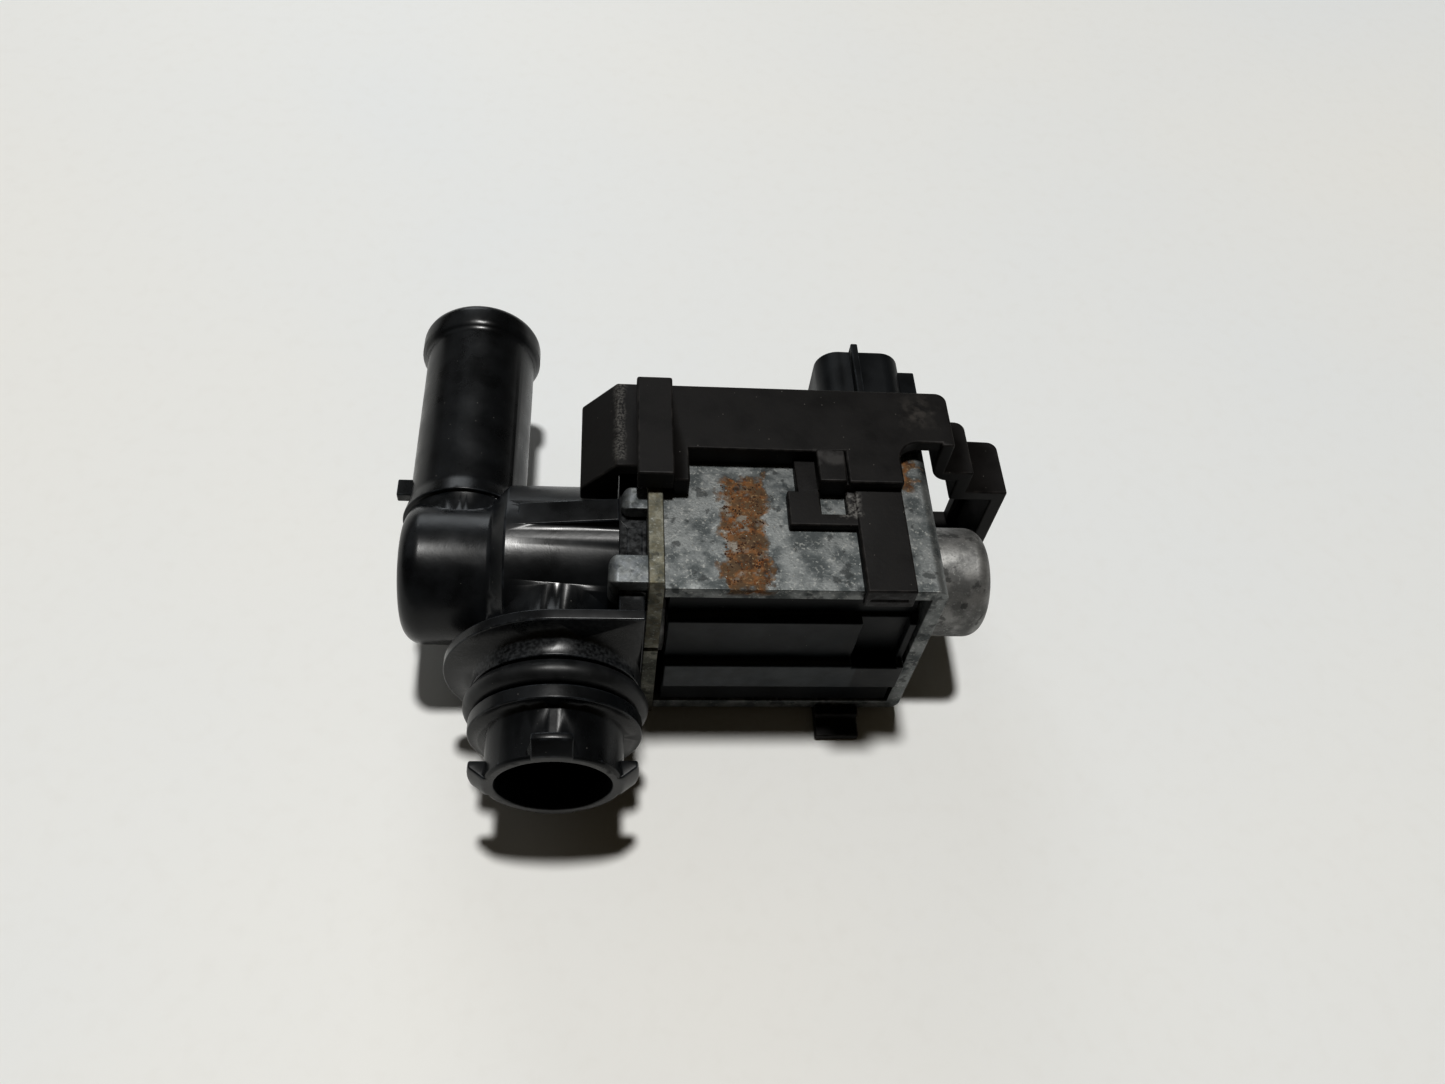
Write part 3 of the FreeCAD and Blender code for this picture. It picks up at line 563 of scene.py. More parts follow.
@dataclass(frozen=True)
class MouldedRubber:
    """Black rubber with a smooth, faintly bloomed skin.

    Args:
        name: The material's name.
        colour: Its colour.
        bloom: Colour of the bloom and of dust.
        roughness: Its mean roughness.
    """

    name: str
    colour: Colour
    bloom: Colour
    roughness: float = 0.42

    def make(self) -> Material:
        """Build the material.

        Returns:
            The material.
        """
        shader = Shader(self.name)
        haze = shader.noise(0.5, 5.0)
        colour = shader.mix(shader.ramp(haze, 0.42, 0.75, 0.0, 0.45), self.colour, self.bloom)
        colour = shader.mix(shader.specks(2.6, 0.16, 0.06), colour, RUBBER_DUST)
        shader.link(colour, shader.surface.inputs["Base Color"])
        shader.link(shader.ramp(haze, 0.3, 0.7, self.roughness - 0.05, self.roughness + 0.12),
                    shader.surface.inputs["Roughness"])
        shader.relief(shader.noise(5.0, 3.0), 0.006)
        return shader.material


BRACKET_MARKS_AND_PAINTED_LIGHT = (
    Mark((-4.3, 5.5, 17.0), (-2.9, 18.6, 21.0), (0.11, 0.107, 0.10), 0.8, 0.3, 0.3, 3.2),
    Mark((24.6, -1.6, 16.0), (27.4, 2.0, 18.0), (0.20, 0.195, 0.185), 0.8, 0.3, 0.5, 2.2),
    Mark((34.8, 12.4, 18.5), (38.4, 17.2, 20.0), (0.11, 0.10, 0.09), 0.6, 1.2, 1.2, 0.8),
    # Painted reflection: the latch pad is made paler, as if it catches the light.
    Mark((21.6, 5.4, 18.6), (25.8, 8.1, 20.0), (0.05, 0.048, 0.047), 0.9, 0.3, 0.2, 0.5),
    # Painted light: the hook's front face is made paler where light falls on it.
    Mark((26.0, -13.6, 13.0), (34.0, -12.4, 17.0), (0.07, 0.07, 0.075), 0.5, 0.3, 0.3, 1.2),
)
COIL_PAINTED_LIGHT = (
    # Painted light: the rib's front face and ledge are made paler where light falls on them.
    Mark((2.0, -13.4, -7.7), (29.0, -12.2, -1.2), (0.036, 0.044, 0.051), 0.9, 0.2, 0.1, 0.4, 0.6),
    # Painted light: the coil's front face under the recess is made paler where light falls on it.
    Mark((2.0, -12.4, -1.5), (27.0, -11.2, 7.4), (0.010, 0.014, 0.018), 0.8, 0.3, 0.2, 0.4, 0.3),
)
BODY_MARKS_AND_PAINTED_LIGHT = (
    Mark((-24.0, -19.0, 4.0), (2.0, -15.5, 15.0), (0.085, 0.09, 0.095), 0.4, 0.4, 0.4, 2.4),
    # Painted light: the flange top between the crimp fingers is made paler, as if lit from above.
    Mark((-3.2, -11.4, 12.4), (0.2, 4.2, 14.6), (0.11, 0.115, 0.12), 0.5, 0.3, 0.6, 1.4),
    Mark((-36.0, -12.0, -12.0), (-18.0, 10.0, 12.0), (0.016, 0.018, 0.021), 0.6, 2.0, 2.0, 0.3),
)
PLATE_RUST = (((9.6, -12.6, 14.6), (15.0, 5.2, 16.4)), ((33.0, 4.2, 14.6), (35.6, 9.0, 16.4)))
PLATE_MARKS = (
    Mark((9.6, 1.6, 15.0), (15.2, 5.4, 16.4), (0.045, 0.024, 0.012), 0.95, 0.6, 0.9, 1.2),
    Mark((16.5, -1.0, 15.0), (19.5, 6.0, 16.4), (0.045, 0.055, 0.060), 0.7, 0.8, 1.2, 1.0),
    Mark((-4.6, -12.4, 9.0), (-0.2, 4.0, 16.4), (0.20, 0.215, 0.235), 0.5, 0.5, 0.5, 1.2),
)
EDGE_MARKS_AND_PAINTED_SHADOW = (
    # Painted shadow: the end plate's front edge is darkened brown where the crimp shades it.
    Mark((-0.2, -12.4, 0.6), (2.2, -11.4, 17.2), (0.13, 0.115, 0.075), 0.8, 0.3, 0.3, 1.5),
    Mark((-0.2, -12.4, 16.4), (2.2, 12.4, 17.4), (0.15, 0.14, 0.10), 0.8, 0.3, 0.3, 1.5),
)

FINISHES = {
    "body_nylon": MouldedNylon("body_nylon", (0.0024, 0.0031, 0.0040), (0.024, 0.028, 0.033), 0.29,
                               0.004, 0.03, BODY_MARKS_AND_PAINTED_LIGHT, 0.42),
    "coil_nylon": MouldedNylon("coil_nylon", (0.0026, 0.0036, 0.0048), (0.020, 0.025, 0.030), 0.42,
                               0.006, 0.02, COIL_PAINTED_LIGHT, 0.25),
    "bracket_nylon": MouldedNylon("bracket_nylon", (0.0030, 0.0024, 0.0024), (0.024, 0.0215, 0.020), 0.50,
                                  0.008, 0.05, BRACKET_MARKS_AND_PAINTED_LIGHT, 0.25),
    "bobbin_nylon": MouldedNylon("bobbin_nylon", (0.030, 0.027, 0.024), (0.09, 0.085, 0.08), 0.45),
    "zinc_steel": PlatedSteel("zinc_steel", (0.225, 0.236, 0.236), (0.088, 0.098, 0.100), 0.52,
                              PLATE_RUST, 0.16, PLATE_MARKS),
    "plate_edge": PlatedSteel("plate_edge", (0.235, 0.232, 0.195), (0.090, 0.092, 0.075), 0.55,
                              (), 0.10, EDGE_MARKS_AND_PAINTED_SHADOW),
    "can_steel": PlatedSteel("can_steel", (0.32, 0.32, 0.315), (0.17, 0.172, 0.17), 0.55, (), 0.12),
    "rust_scale": Crust("rust_scale", (0.20, 0.085, 0.028), (0.050, 0.024, 0.013)),
    "zinc_salt": Crust("zinc_salt", (0.42, 0.41, 0.37), (0.20, 0.20, 0.185)),
    "core_steel": TurnedMetal("core_steel", (0.42, 0.42, 0.41)),
    "rod_steel": TurnedMetal("rod_steel", (0.55, 0.55, 0.54), 0.22),
    "spring_steel": TurnedMetal("spring_steel", (0.40, 0.40, 0.42), 0.30, (1.5, 1.5, 1.5)),
    "copper_wire": TurnedMetal("copper_wire", (0.62, 0.26, 0.12), 0.30, (2.0, 0.3, 0.3)),
    "tinned_brass": TurnedMetal("tinned_brass", (0.62, 0.58, 0.46), 0.30, (0.8, 3.0, 0.8)),
    "bush_bronze": TurnedMetal("bush_bronze", (0.45, 0.28, 0.13), 0.36),
    "ring_rubber": MouldedRubber("ring_rubber", (0.010, 0.011, 0.012), (0.034, 0.036, 0.039), 0.40),
    "seal_rubber": MouldedRubber("seal_rubber", (0.040, 0.018, 0.012), (0.09, 0.05, 0.04)),
}


class Workshop:
    """Makes each finish once, and puts pieces on their bodies."""

    def __init__(self) -> None:
        """Start with no finish made."""
        self.made: dict[str, Material] = {}

    def finish(self, name: str) -> Material:
        """Give a finish, making it the first time.

        Args:
            name: The finish's name in FINISHES.

        Returns:
            The material.
        """
        if name not in self.made:
            self.made[name] = FINISHES[name].make()
        return self.made[name]

    def settle(self, piece: Piece, finish: str, body: Body,
               stands_for: tuple[str, ...] = ()) -> None:
        """Dress a piece, put it on its body and hide the nodes that it stands for.

        Args:
            piece: The piece.
            finish: Its finish.
            body: The body that it rides on.
            stands_for: CAD nodes that it replaces.
        """
        piece.data.materials.clear()
        piece.data.materials.append(self.finish(finish))
        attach(piece, body.value)
        if stands_for:
            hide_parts(*stands_for)
        log.info("%s: %d faces, %s on %s", piece.name, len(piece.data.polygons), finish, body.value)


def new_piece(name: str, mesh: bpy.types.Mesh) -> Piece:
    """Make an object at the origin from a mesh that is already in place.

    Args:
        name: The piece's name.
        mesh: Its mesh.

    Returns:
        The piece.
    """
    piece = bpy.data.objects.new(name, mesh)
    bpy.context.scene.collection.objects.link(piece)
    return piece


@dataclass
class RoundedPiece:
    """A moulded or pressed piece whose sharp outer edges are rounded, as a tool leaves them.

    Args:
        node: The CAD node that it stands for.
        name: The piece's name.
        slot: Its material slot.
        radius: Radius of the rounded edges.
        finish: Its finish, where that isn't the slot's own.
        sharp: Edges that turn by more than this many degrees are rounded.
        segments: Faces across a rounded edge.
        weld: Points closer than this are joined.
        flat: Faces that turn by less than this many degrees become one.
    """

    node: str
    name: str
    slot: str
    radius: float = 0.25
    finish: str = ""
    sharp: float = 34.0
    segments: int = 3
    weld: float = 0.002
    flat: float = 0.6

    def build(self) -> Piece:
        """Copy the node's mesh, join its loose triangles and round its edges.

        Returns:
            The piece.
        """
        shape = bmesh.new()
        shape.from_mesh(frame["nodes"][self.node].data)
        bmesh.ops.remove_doubles(shape, verts=shape.verts, dist=self.weld * MM)
        bmesh.ops.dissolve_degenerate(shape, edges=shape.edges, dist=self.weld * MM)
        bmesh.ops.dissolve_limit(shape, angle_limit=math.radians(self.flat), verts=shape.verts,
                                 edges=shape.edges, use_dissolve_boundaries=False)
        rounded_edge = shape.faces.layers.float.new("rounded_edge")
        turn = math.radians(self.sharp)
        edges = [edge for edge in shape.edges
                 if edge.is_manifold and edge.is_convex and edge.calc_face_angle(0.0) > turn]
        rounded = bmesh.ops.bevel(shape, geom=edges, offset=self.radius * MM, offset_type="OFFSET",
                                  segments=self.segments, profile=0.5, affect="EDGES",
                                  clamp_overlap=False, loop_slide=True)
        for face in rounded["faces"]:
            face[rounded_edge] = 1.0
        bmesh.ops.triangulate(shape, faces=[face for face in shape.faces if len(face.verts) > 4])
        mesh = bpy.data.meshes.new(self.name)
        shape.to_mesh(mesh)
        shape.free()
        mesh.shade_smooth()
        mesh.set_sharp_from_angle(angle=SMOOTH_BELOW)
        piece = new_piece(self.name, mesh)
        weigh = piece.modifiers.new("flat faces first", "WEIGHTED_NORMAL")
        weigh.weight = 100
        weigh.keep_sharp = True
        return piece

    def dress(self, workshop: Workshop) -> None:
        """Build the piece and put it in its node's place.

        Args:
            workshop: Where the finishes are made.
        """
        workshop.settle(self.build(), self.finish or self.slot, Body.HOUSING, (self.node,))


class Recipe:
    """A geometry node tree with named sizes, run once and left as a plain mesh."""

    def __init__(self, name: str, sizes: dict[str, float]) -> None:
        """Start a tree.

        Args:
            name: Its name, which is also the piece's.
            sizes: The named inputs and their values, in millimetres or counts.
        """
        self.name = name
        self.sizes = sizes
        self.tree = bpy.data.node_groups.new(name, "GeometryNodeTree")
        self.tree.interface.new_socket("Geometry", in_out="OUTPUT", socket_type="NodeSocketGeometry")
        self.sockets = {}
        for label in sizes:
            socket = self.tree.interface.new_socket(label, in_out="INPUT", socket_type="NodeSocketFloat")
            self.sockets[label] = socket.identifier
        self.given = self.tree.nodes.new("NodeGroupInput")
        self.result = self.tree.nodes.new("NodeGroupOutput")

    def size(self, label: str, factor: float = 1.0) -> Socket:
        """Read a named size.

        Args:
            label: Its name.
            factor: What it is multiplied by.

        Returns:
            The output that holds it.
        """
        output = self.given.outputs[label]
        if factor == 1.0:
            return output
        return self.add("ShaderNodeMath", {0: output, 1: factor}, operation="MULTIPLY").outputs[0]

    def add(self, kind: str, inputs: dict, **settings: "str | int") -> bpy.types.Node:
        """Add a node.

        Args:
            kind: Its type.
            inputs: Its inputs by name or place: outputs to link, or values.
            settings: Its properties.

        Returns:
            The node.
        """
        node = self.tree.nodes.new(kind)
        for name, value in settings.items():
            setattr(node, name, value)
        for key, value in inputs.items():
            if isinstance(value, Socket):
                self.tree.links.new(value, node.inputs[key])
            else:
                node.inputs[key].default_value = value
        return node

    def moved(self, shape: Socket, spot: Vector,
              turn: Triple = (0, 0, 0)) -> Socket:
        """Turn a shape and put it in place.

        Args:
            shape: The shape.
            spot: Its new origin.
            turn: Its turn about X, Y and Z, in degrees.

        Returns:
            The moved shape.
        """
        angles = tuple(math.radians(angle) for angle in turn)
        node = self.add("GeometryNodeTransform", {"Geometry": shape, "Translation": spot, "Rotation": angles})
        return node.outputs["Geometry"]

    def tube(self, path: Socket, radius: str, sides: int,
             caps: bool = False) -> Socket:
        """Give a path a round section.

        Args:
            path: The path.
            radius: The named size that is the section's radius.
            sides: Sides of the section.
            caps: Whether the ends are closed.

        Returns:
            The tube.
        """
        section = self.add("GeometryNodeCurvePrimitiveCircle",
                           {"Resolution": sides, "Radius": self.size(radius, MM)})
        tube = self.add("GeometryNodeCurveToMesh", {
            "Curve": path, "Profile Curve": section.outputs[0], "Fill Caps": caps})
        return tube.outputs[0]

    def run(self, shape: Socket, material: Material) -> Piece:
        """Close the tree, run it and keep the mesh.

        Args:
            shape: The finished geometry.
            material: The piece's finish.

        Returns:
            The piece, at the origin and with no modifier.
        """
        solid = self.add("GeometryNodeRealizeInstances", {"Geometry": shape})
        dressed = self.add("GeometryNodeSetMaterial", {"Geometry": solid.outputs[0], "Material": material})
        self.tree.links.new(dressed.outputs[0], self.result.inputs[0])
        host = new_piece(self.name, bpy.data.meshes.new(self.name + "_host"))
        modifier = host.modifiers.new("recipe", "NODES")
        modifier.node_group = self.tree
        for label, value in self.sizes.items():
            modifier[self.sockets[label]] = float(value)
        bpy.context.view_layer.update()
        graph = bpy.context.evaluated_depsgraph_get()
        mesh = bpy.data.meshes.new_from_object(host.evaluated_get(graph))
        host.modifiers.clear()
        host.data = mesh
        mesh.shade_smooth()
        mesh.set_sharp_from_angle(angle=SMOOTH_BELOW)
        return host


@dataclass
class Grains:
    """Loose grains of corrosion scattered on the yoke's top face.

    Args:
        name: The piece's name.
        finish: The grains' finish.
        centre: Middle of the strewn patch.
        width: Its size along X.
        length: Its size along Y.
        density: Grains in a square millimetre, where they lie closest.
        grain: A grain's largest radius.
        seed: Seed of the scatter.
        gather: How strongly the grains keep to clusters, from 0 to 1.
        clusters: How many clusters there are in a millimetre.
        cells: Points along each side of the grid that the clusters are read on.
        breadth: A grain's breadth, as a share of its length.
        height: Its height, as a share of its length.
        smallest: The smallest grain, as a share of the largest.
        tilt: How far a grain leans, in radians.
    """

    name: str
    finish: str
    centre: Triple
    width: float
    length: float
    density: float
    grain: float
    seed: int
    gather: float = 0.5
    clusters: float = 0.7
    cells: int = 60
    breadth: float = 0.8
    height: float = 0.35
    smallest: float = 0.35
    tilt: float = 0.3

    def build(self, workshop: Workshop) -> Piece:
        """Scatter the grains.

        Args:
            workshop: Where the finishes are made.

        Returns:
            The piece.
        """
        recipe = Recipe(self.name, {"Width": self.width, "Length": self.length, "Density": self.density,
                                    "Grain": self.grain, "Gather": self.gather})
        patch = recipe.add("GeometryNodeMeshGrid", {
            "Size X": recipe.size("Width", MM), "Size Y": recipe.size("Length", MM),
            "Vertices X": self.cells, "Vertices Y": self.cells})
        laid = recipe.moved(patch.outputs["Mesh"], place(*self.centre))
        clusters = recipe.add("ShaderNodeTexNoise", {"Scale": self.clusters / MM, "Detail": 4.0})
        thick = recipe.add("FunctionNodeCompare", {0: clusters.outputs[0], 1: recipe.size("Gather")},
                           operation="GREATER_THAN")
        points = recipe.add("GeometryNodeDistributePointsOnFaces", {
            "Mesh": laid, "Selection": thick.outputs[0], "Density": recipe.size("Density", 1 / MM ** 2),
            "Seed": self.seed})
        ball = recipe.add("GeometryNodeMeshIcoSphere",
                          {"Radius": recipe.size("Grain", MM), "Subdivisions": 1})
        grain = recipe.add("GeometryNodeTransform", {
            "Geometry": ball.outputs["Mesh"], "Scale": (1.0, self.breadth, self.height)})
        spread = recipe.add("FunctionNodeRandomValue", {2: self.smallest, 3: 1.0, "Seed": self.seed},
                            data_type="FLOAT")
        turn = recipe.add("FunctionNodeRandomValue", {
            0: (0, 0, 0), 1: (self.tilt, self.tilt, math.tau), "Seed": self.seed}, data_type="FLOAT_VECTOR")
        strewn = recipe.add("GeometryNodeInstanceOnPoints", {
            "Points": points.outputs["Points"], "Instance": grain.outputs[0],
            "Scale": spread.outputs[1], "Rotation": turn.outputs[0]})
        return recipe.run(strewn.outputs[0], workshop.finish(self.finish))


@dataclass
class Winding:
    """The coil's outer layer of enamelled wire, turn beside turn on the layers under it.

    Args:
        wire: Radius of the wire.
        sides: Straight stretches that make up one turn.
        facets: Sides of the wire's section.
    """

    wire: float = 0.3
    sides: int = 56
    facets: int = 8

    def build(self, workshop: Workshop) -> Piece:
        """Wind the coil inside its CAD node's box.

        Args:
            workshop: Where the finishes are made.

        Returns:
            The piece.
        """
        low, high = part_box("copper_winding")
        length = (high.x - low.x) / MM
        radius = (high.z - low.z) / 2 / MM
        turns = int(length // (2 * self.wire))
        recipe = Recipe("winding_turns", {"Radius": radius - self.wire, "Wire": self.wire,
                                          "Length": length, "Turns": turns})
        loop = recipe.add("GeometryNodeCurvePrimitiveCircle",
                          {"Resolution": self.sides, "Radius": recipe.size("Radius", MM)})
        turn = recipe.tube(loop.outputs[0], "Wire", self.facets)
        upright = recipe.moved(turn, Vector((0, 0, 0)), (0, 90, 0))
        pitch = recipe.add("ShaderNodeCombineXYZ", {"X": recipe.size("Wire", 2 * MM)})
        row = recipe.add("GeometryNodeMeshLine", {"Count": recipe.size("Turns"), "Offset": pitch.outputs[0]})
        wound = recipe.add("GeometryNodeInstanceOnPoints", {"Points": row.outputs[0], "Instance": upright})
        first = Vector((low.x + self.wire * MM, DATUM.y, 0))
        outer = recipe.moved(wound.outputs[0], first)
        core = recipe.add("GeometryNodeMeshCylinder", {
            "Vertices": self.sides, "Radius": recipe.size("Radius", MM), "Depth": recipe.size("Length", MM)})
        under = recipe.moved(core.outputs["Mesh"], Vector(((low.x + high.x) / 2, DATUM.y, 0)), (0, 90, 0))
        both = recipe.add("GeometryNodeJoinGeometry", {})
        for shape in (outer, under):
            recipe.tree.links.new(shape, both.inputs[0])
        return recipe.run(both.outputs[0], workshop.finish("copper_wire"))


@dataclass
class Spring:
    """The return spring, which the plunger shortens as it comes in; this piece is built at one length.

    Args:
        turns: Number of turns.
        wire: Radius of the wire.
        sides: Straight stretches in one turn.
        facets: Sides of the wire's section.
    """

    turns: float = 7.0
    wire: float = 0.35
    sides: int = 36
    facets: int = 14

    def build(self, workshop: Workshop) -> Piece:
        """Coil the spring inside its CAD node's box.

        Args:
            workshop: Where the finishes are made.

        Returns:
            The piece.
        """
        low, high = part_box("return_spring")
        length = (high.x - low.x) / MM - 2 * self.wire
        radius = (high.z - low.z) / 2 / MM - self.wire
        recipe = Recipe("spring_coil", {"Turns": self.turns, "Radius": radius, "Wire": self.wire,
                                        "Length": length})
        line = recipe.add("GeometryNodeCurveSpiral", {
            "Resolution": self.sides, "Rotations": recipe.size("Turns"), "Height": recipe.size("Length", MM),
            "Start Radius": recipe.size("Radius", MM), "End Radius": recipe.size("Radius", MM)})
        wire = recipe.tube(line.outputs[0], "Wire", self.facets, caps=True)
        spot = Vector((low.x + self.wire * MM, DATUM.y, 0))
        laid = recipe.moved(wire, spot, (0, 90, 0))
        return recipe.run(laid, workshop.finish("spring_steel"))

    def compress(self, piece: Piece) -> None:
        """Give the spring a mesh of its own; it does not shorten.

        Args:
            piece: The spring.
        """
        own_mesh(piece)


@dataclass
class EjectorMarks:
    """Round witness marks that the mould's pins leave on the bracket's back wall.

    Args:
        radius: Radius of a mark.
        lip: Radius of its raised rim.
        columns: Marks along the wall.
        rows: Marks up the wall.
        span: Distance between the first and last column.
        rise: Distance between the rows.
        middle: Where the pattern's middle is along the coil's axis.
        height: Where it is above the coil's axis.
        sides: Straight stretches round a mark.
        facets: Sides of the rim's section.
    """

    radius: float = 1.8
    lip: float = 0.12
    columns: int = 3
    rows: int = 2
    span: float = 16.0
    rise: float = 15.0
    middle: float = 10.0
    height: float = 4.5
    sides: int = 40
    facets: int = 8

    def build(self, workshop: Workshop) -> Piece:
        """Raise the marks on the wall's outer face.

        Args:
            workshop: Where the finishes are made.

        Returns:
            The piece.
        """
        _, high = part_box("mounting_bracket")
        recipe = Recipe("ejector_marks", {"Radius": self.radius, "Lip": self.lip, "Span": self.span,
                                          "Rise": self.rise})
        rim = recipe.add("GeometryNodeCurvePrimitiveCircle",
                         {"Resolution": self.sides, "Radius": recipe.size("Radius", MM)})
        ring = recipe.tube(rim.outputs[0], "Lip", self.facets)
        spots = recipe.add("GeometryNodeMeshGrid", {
            "Size X": recipe.size("Span", MM), "Size Y": recipe.size("Rise", MM),
            "Vertices X": self.columns, "Vertices Y": self.rows})
        marks = recipe.add("GeometryNodeInstanceOnPoints", {"Points": spots.outputs["Mesh"],
                                                            "Instance": ring})
        wall = Vector((place(self.middle, 0, 0).x, high.y, place(0, 0, self.height).z))
        upright = recipe.moved(marks.outputs[0], wall, (90, 0, 0))
        return recipe.run(upright, workshop.finish("bracket_nylon"))


@dataclass
class ValveBody:
    """The moulded body with its hose pipe and snap-in spigot.

    Args:
        shell: The body's one moulding.
    """

    shell: RoundedPiece = field(default_factory=lambda: RoundedPiece(
        "valve_body", "body_moulding", "body_nylon", 0.22))

    def dress(self, workshop: Workshop) -> None:
        """Build and dress the body's pieces."""
        self.shell.dress(workshop)


@dataclass
class SteelFrame:
    """The bent yoke, the end plate that it is crimped through, and the drawn can.

    Args:
        yoke: The bent yoke.
        plate: The end plate.
        can: The drawn can.
        corrosion: The grains that lie on the yoke.
    """

    yoke: RoundedPiece = field(default_factory=lambda: RoundedPiece(
        "yoke", "yoke_pressing", "zinc_steel", 0.16))
    plate: RoundedPiece = field(default_factory=lambda: RoundedPiece(
        "end_plate", "end_plate_pressing", "zinc_steel", 0.16, "plate_edge"))
    can: RoundedPiece = field(default_factory=lambda: RoundedPiece(
        "armature_can", "can_drawing", "can_steel", 0.12))
    corrosion: tuple[Grains, ...] = (
        Grains("rust_grains", "rust_scale", (12.3, -3.4, 15.7), 5.4, 15.6, 9.0, 0.20, 7, 0.50),
        Grains("salt_grains", "zinc_salt", (14.6, -3.0, 15.7), 23.0, 16.6, 1.1, 0.13, 21, 0.56),
    )

    def dress(self, workshop: Workshop) -> None:
        """Build and dress the frame's pieces.

        Args:
            workshop: Where the finishes are made.
        """
        self.yoke.dress(workshop)
        self.plate.dress(workshop)
        self.can.dress(workshop)
        for grains in self.corrosion:
            workshop.settle(grains.build(workshop), grains.finish, Body.HOUSING)


@dataclass
class Coil:
    """The overmoulded coil with its connector socket, the winding inside and the return spring.

    Args:
        case: The overmould.
        winding: The copper winding.
        spring: The return spring.
    """

    case: RoundedPiece = field(default_factory=lambda: RoundedPiece(
        "coil_case", "coil_moulding", "coil_nylon", 0.2))
    winding: Winding = field(default_factory=Winding)
    spring: Spring = field(default_factory=Spring)

    def dress(self, workshop: Workshop) -> None:
        """Build and dress the coil's pieces.

        Args:
            workshop: Where the finishes are made.
        """
        self.case.dress(workshop)
        workshop.settle(self.winding.build(workshop), "copper_wire", Body.HOUSING,
                        ("copper_winding",))
        coil = self.spring.build(workshop)
        workshop.settle(coil, "spring_steel", Body.HOUSING, ("return_spring",))
        self.spring.compress(coil)


@dataclass
class Bracket:
    """The clip-on mounting bracket.

    Args:
        clip: The bracket's one moulding.
        marks: The witness marks on its back wall.
    """

    clip: RoundedPiece = field(default_factory=lambda: RoundedPiece(
        "mounting_bracket", "bracket_moulding", "bracket_nylon", 0.3))
    marks: EjectorMarks = field(default_factory=EjectorMarks)

    def dress(self, workshop: Workshop) -> None:
        """Build and dress the bracket."""
        self.clip.dress(workshop)
        workshop.settle(self.marks.build(workshop), "bracket_nylon", Body.HOUSING)


class InnerPieces:
    """The nodes whose own shapes are kept, each dressed in its slot's finish."""

    def dress(self, workshop: Workshop) -> None:
        """Give every node that still shows its finish.

        Args:
            workshop: Where the finishes are made.
        """
        slots = {part["node"]: part["material_slot"] for part in frame["record"]["subparts"]}
        for name, node in sorted(frame["nodes"].items()):
            if node.hide_render:
                continue
            node.data.materials.clear()
            node.data.materials.append(workshop.finish(slots[name]))
            node.data.shade_smooth()
            node.data.set_sharp_from_angle(angle=SMOOTH_BELOW)
            log.info("%s keeps its shape, in %s", name, slots[name])


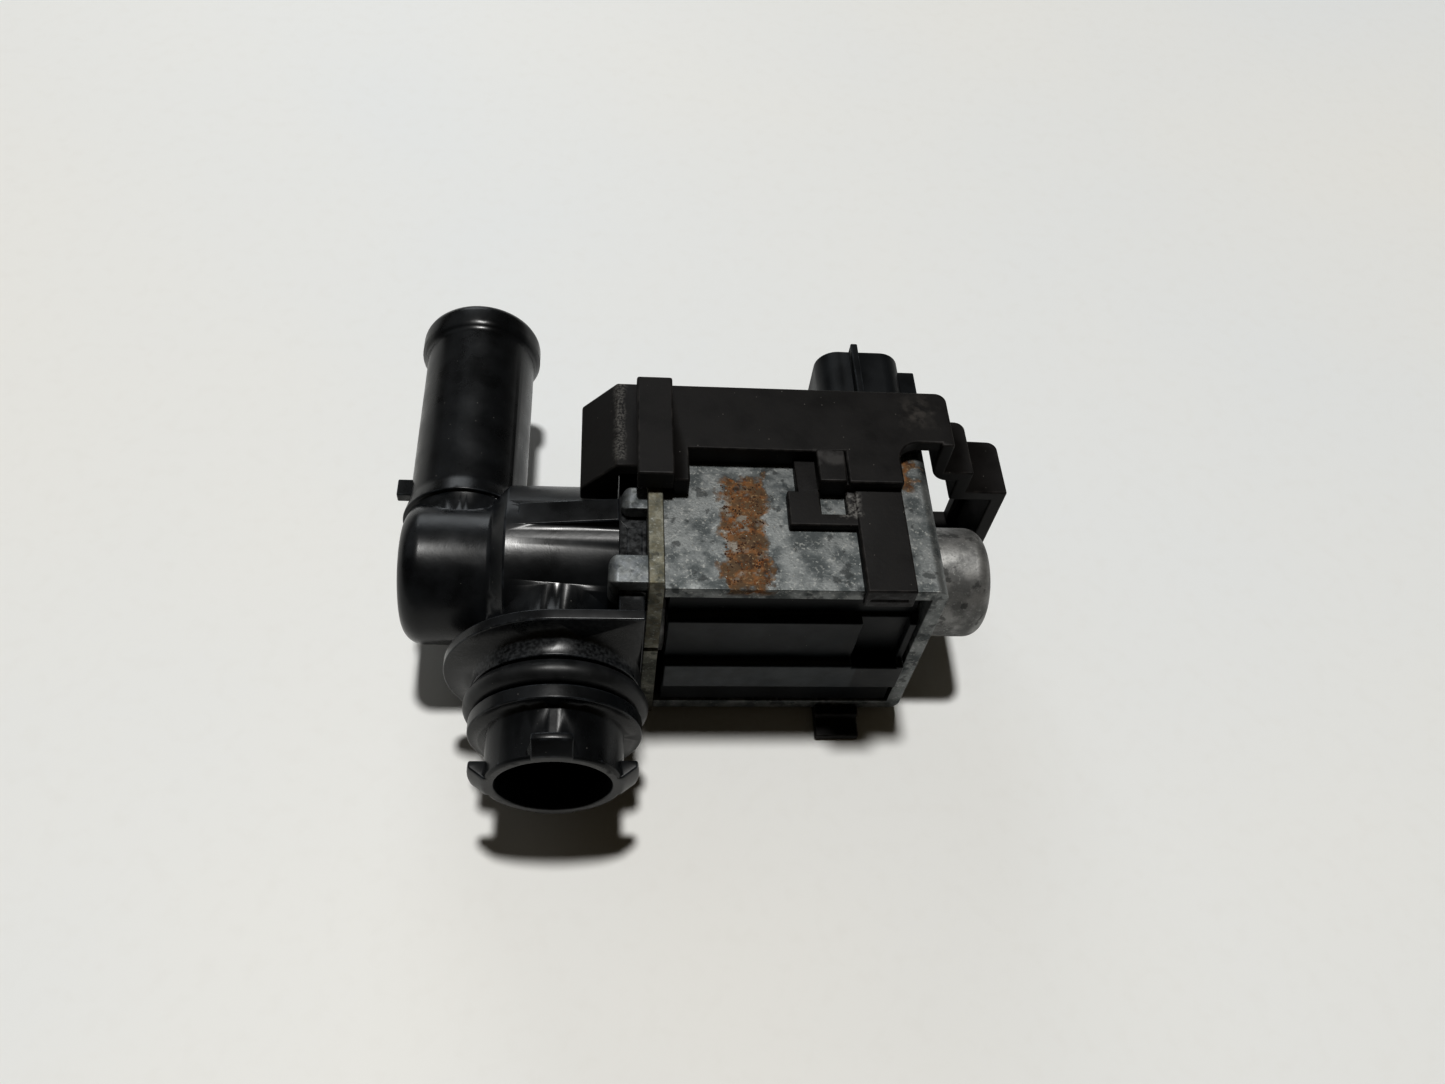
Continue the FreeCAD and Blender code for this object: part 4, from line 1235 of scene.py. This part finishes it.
@dataclass
class Studio:
    """The pale table, the lamps and the camera.

    Args:
        table_size: Side of the square table top.
        table_cool: The cooler clouds in its laminate.
        table_warm: The warmer clouds.
        table_smudge: The faint smudges on it.
        table_roughness: Its roughness.
        lamp_size: Width of the lamp overhead, which softens the shadows.
        lamp_height: Its height above the part.
        lamp_aside: How far it stands to the right, as a share of its height.
        lamp_lean: How far it stands behind the part, as a share of its height.
        lamp_strength: Its strength in watts per square metre.
        lamp_tint: Its colour.
        fill_size: Side of the square lamp that fills the shadows.
        fill_watts: Its power.
        fill_place: Its place, in metres from the part's middle.
        fill_tint: Its colour.
        sky: Colour of the light from all round.
        sky_strength: Strength of that light.
        wall: Colour of the wall behind the table.
        back_size: Side of the square lamp behind the part.
        back_watts: Its power.
        back_place: Its place, in metres from the part's middle.
        back_tint: Its colour.
        display_gamma: Gamma of the display, which deepens the blacks when it is under 1.
        camera_place: The camera's place.
        camera_forward: The way that it looks.
        camera_up: The way that is up in its picture.
        camera_lens: Its focal length.
        camera_sensor: Its sensor's width.
        camera_reach: Nearest and furthest distance that it sees, in metres.
    """

    table_size: float = 20000.0
    table_cool: Colour = (0.77, 0.79, 0.80)
    table_warm: Colour = (0.80, 0.80, 0.78)
    table_smudge: Colour = (0.70, 0.69, 0.66)
    table_roughness: float = 0.6
    lamp_size: float = 60.0
    lamp_height: float = 620.0
    lamp_aside: float = -0.015
    lamp_lean: float = 0.14
    lamp_strength: float = 2.75
    lamp_tint: Colour = (1.0, 0.99, 0.97)
    fill_size: float = 900.0
    fill_watts: float = 0.8
    fill_place: Triple = (-0.9, 0.5, 0.8)
    fill_tint: Colour = (0.92, 0.96, 1.0)
    sky: Colour = (1.0, 0.80, 0.50)
    sky_strength: float = 0.045
    wall: Colour = (0.62, 0.62, 0.60)
    back_size: float = 900.0
    back_watts: float = 9.0
    back_place: Triple = (-0.4, 2.0, 0.9)
    back_tint: Colour = (0.93, 0.97, 1.0)
    display_gamma: float = 0.8
    camera_place: Triple = (-6.51, -88.83, 135.51)
    camera_forward: Triple = (0.108, 0.571, -0.814)
    camera_up: Triple = (-0.018, 0.820, 0.573)
    camera_lens: float = 29.15
    camera_sensor: float = 36.0
    camera_reach: tuple[float, float] = (0.005, 40.0)

    def table(self) -> None:
        """Lay the table top just under the part."""
        half = self.table_size * MM / 2
        drop = cad_low.z
        corners = [(-half, -half, drop), (half, -half, drop), (half, half, drop), (-half, half, drop)]
        mesh = bpy.data.meshes.new("table_top")
        mesh.from_pydata(corners, [], [(0, 1, 2, 3)])
        top = new_piece("table_top", mesh)
        shader = Shader("table_laminate")
        clouds = shader.noise(0.006, 3.0)
        colour = shader.mix(shader.ramp(clouds, 0.35, 0.7), self.table_cool, self.table_warm)
        smudges = shader.ramp(shader.noise(0.35, 6.0), 0.5, 0.75, 0.0, 0.12)
        colour = shader.mix(smudges, colour, self.table_smudge)
        shader.link(colour, shader.surface.inputs["Base Color"])
        shader.surface.inputs["Roughness"].default_value = self.table_roughness
        mesh.materials.append(shader.material)

    def hang(self, light: bpy.types.Light, tint: Colour, offset: Vector) -> None:
        """Hang a light so that it faces the part's middle.

        Args:
            light: The light, whose name the lamp takes.
            tint: Its colour.
            offset: Its place, in metres from the part's middle.
        """
        light.color = tint
        lamp = bpy.data.objects.new(light.name, light)
        middle = (cad_low + cad_high) / 2
        lamp.location = middle + offset
        lamp.rotation_euler = (middle - lamp.location).to_track_quat("-Z", "Y").to_euler()
        bpy.context.scene.collection.objects.link(lamp)

    def lamp(self, name: str, offset: Triple, size: float, watts: float, tint: Colour) -> None:
        """Hang a square lamp.

        Args:
            name: The lamp's name.
            offset: Its place, in metres from the part's middle.
            size: Its side in millimetres.
            watts: Its power.
            tint: Its colour.
        """
        light = bpy.data.lights.new(name, "AREA")
        light.size = size * MM
        light.energy = watts
        self.hang(light, tint, Vector(offset))

    def light(self) -> None:
        """Hang the lamps and set the sky."""
        sun = bpy.data.lights.new("overhead_lamp", "SUN")
        sun.angle = math.atan(self.lamp_size / self.lamp_height)
        sun.energy = self.lamp_strength
        height = self.lamp_height * MM
        self.hang(sun, self.lamp_tint,
                  Vector((self.lamp_aside * height, self.lamp_lean * height, height)))
        self.lamp("room_fill", self.fill_place, self.fill_size, self.fill_watts, self.fill_tint)
        self.lamp("window_behind", self.back_place, self.back_size, self.back_watts, self.back_tint)
        world = bpy.data.worlds.new("room")
        world.use_nodes = True
        tree = world.node_tree
        sky = tree.nodes["Background"]
        sky.inputs["Color"].default_value = (*self.sky, 1.0)
        sky.inputs["Strength"].default_value = self.sky_strength
        wall = tree.nodes.new("ShaderNodeBackground")
        wall.inputs["Color"].default_value = (*self.wall, 1.0)
        rays = tree.nodes.new("ShaderNodeLightPath")
        seen = tree.nodes.new("ShaderNodeMixShader")
        tree.links.new(rays.outputs["Is Camera Ray"], seen.inputs[0])
        tree.links.new(sky.outputs[0], seen.inputs[1])
        tree.links.new(wall.outputs[0], seen.inputs[2])
        tree.links.new(seen.outputs[0], tree.nodes["World Output"].inputs["Surface"])
        bpy.context.scene.world = world
        bpy.context.scene.view_settings.view_transform = "Standard"
        bpy.context.scene.view_settings.gamma = self.display_gamma

    def camera(self) -> None:
        """Stand the camera above the part's front, looking down at it."""
        forward = Vector(self.camera_forward).normalized()
        right = forward.cross(Vector(self.camera_up)).normalized()
        up = right.cross(forward)
        turn = Matrix((right, up, -forward)).transposed().to_4x4()
        lens = bpy.data.cameras.new("camera")
        lens.lens = self.camera_lens
        lens.sensor_width = self.camera_sensor
        lens.clip_start, lens.clip_end = self.camera_reach
        camera = bpy.data.objects.new("camera", lens)
        camera.matrix_world = Matrix.Translation(place(*self.camera_place)) @ turn
        bpy.context.scene.collection.objects.link(camera)
        bpy.context.scene.camera = camera

    def build(self) -> None:
        """Set up the camera, the table and the light."""
        self.camera()
        self.table()
        self.light()


def main() -> None:
    """Build the studio and the part, piece by piece."""
    logging.basicConfig(level=logging.INFO, format="%(name)s: %(message)s")
    Studio().build()
    workshop = Workshop()
    ValveBody().dress(workshop)
    SteelFrame().dress(workshop)
    Coil().dress(workshop)
    Bracket().dress(workshop)
    InnerPieces().dress(workshop)


if __name__ == "__main__":
    main()
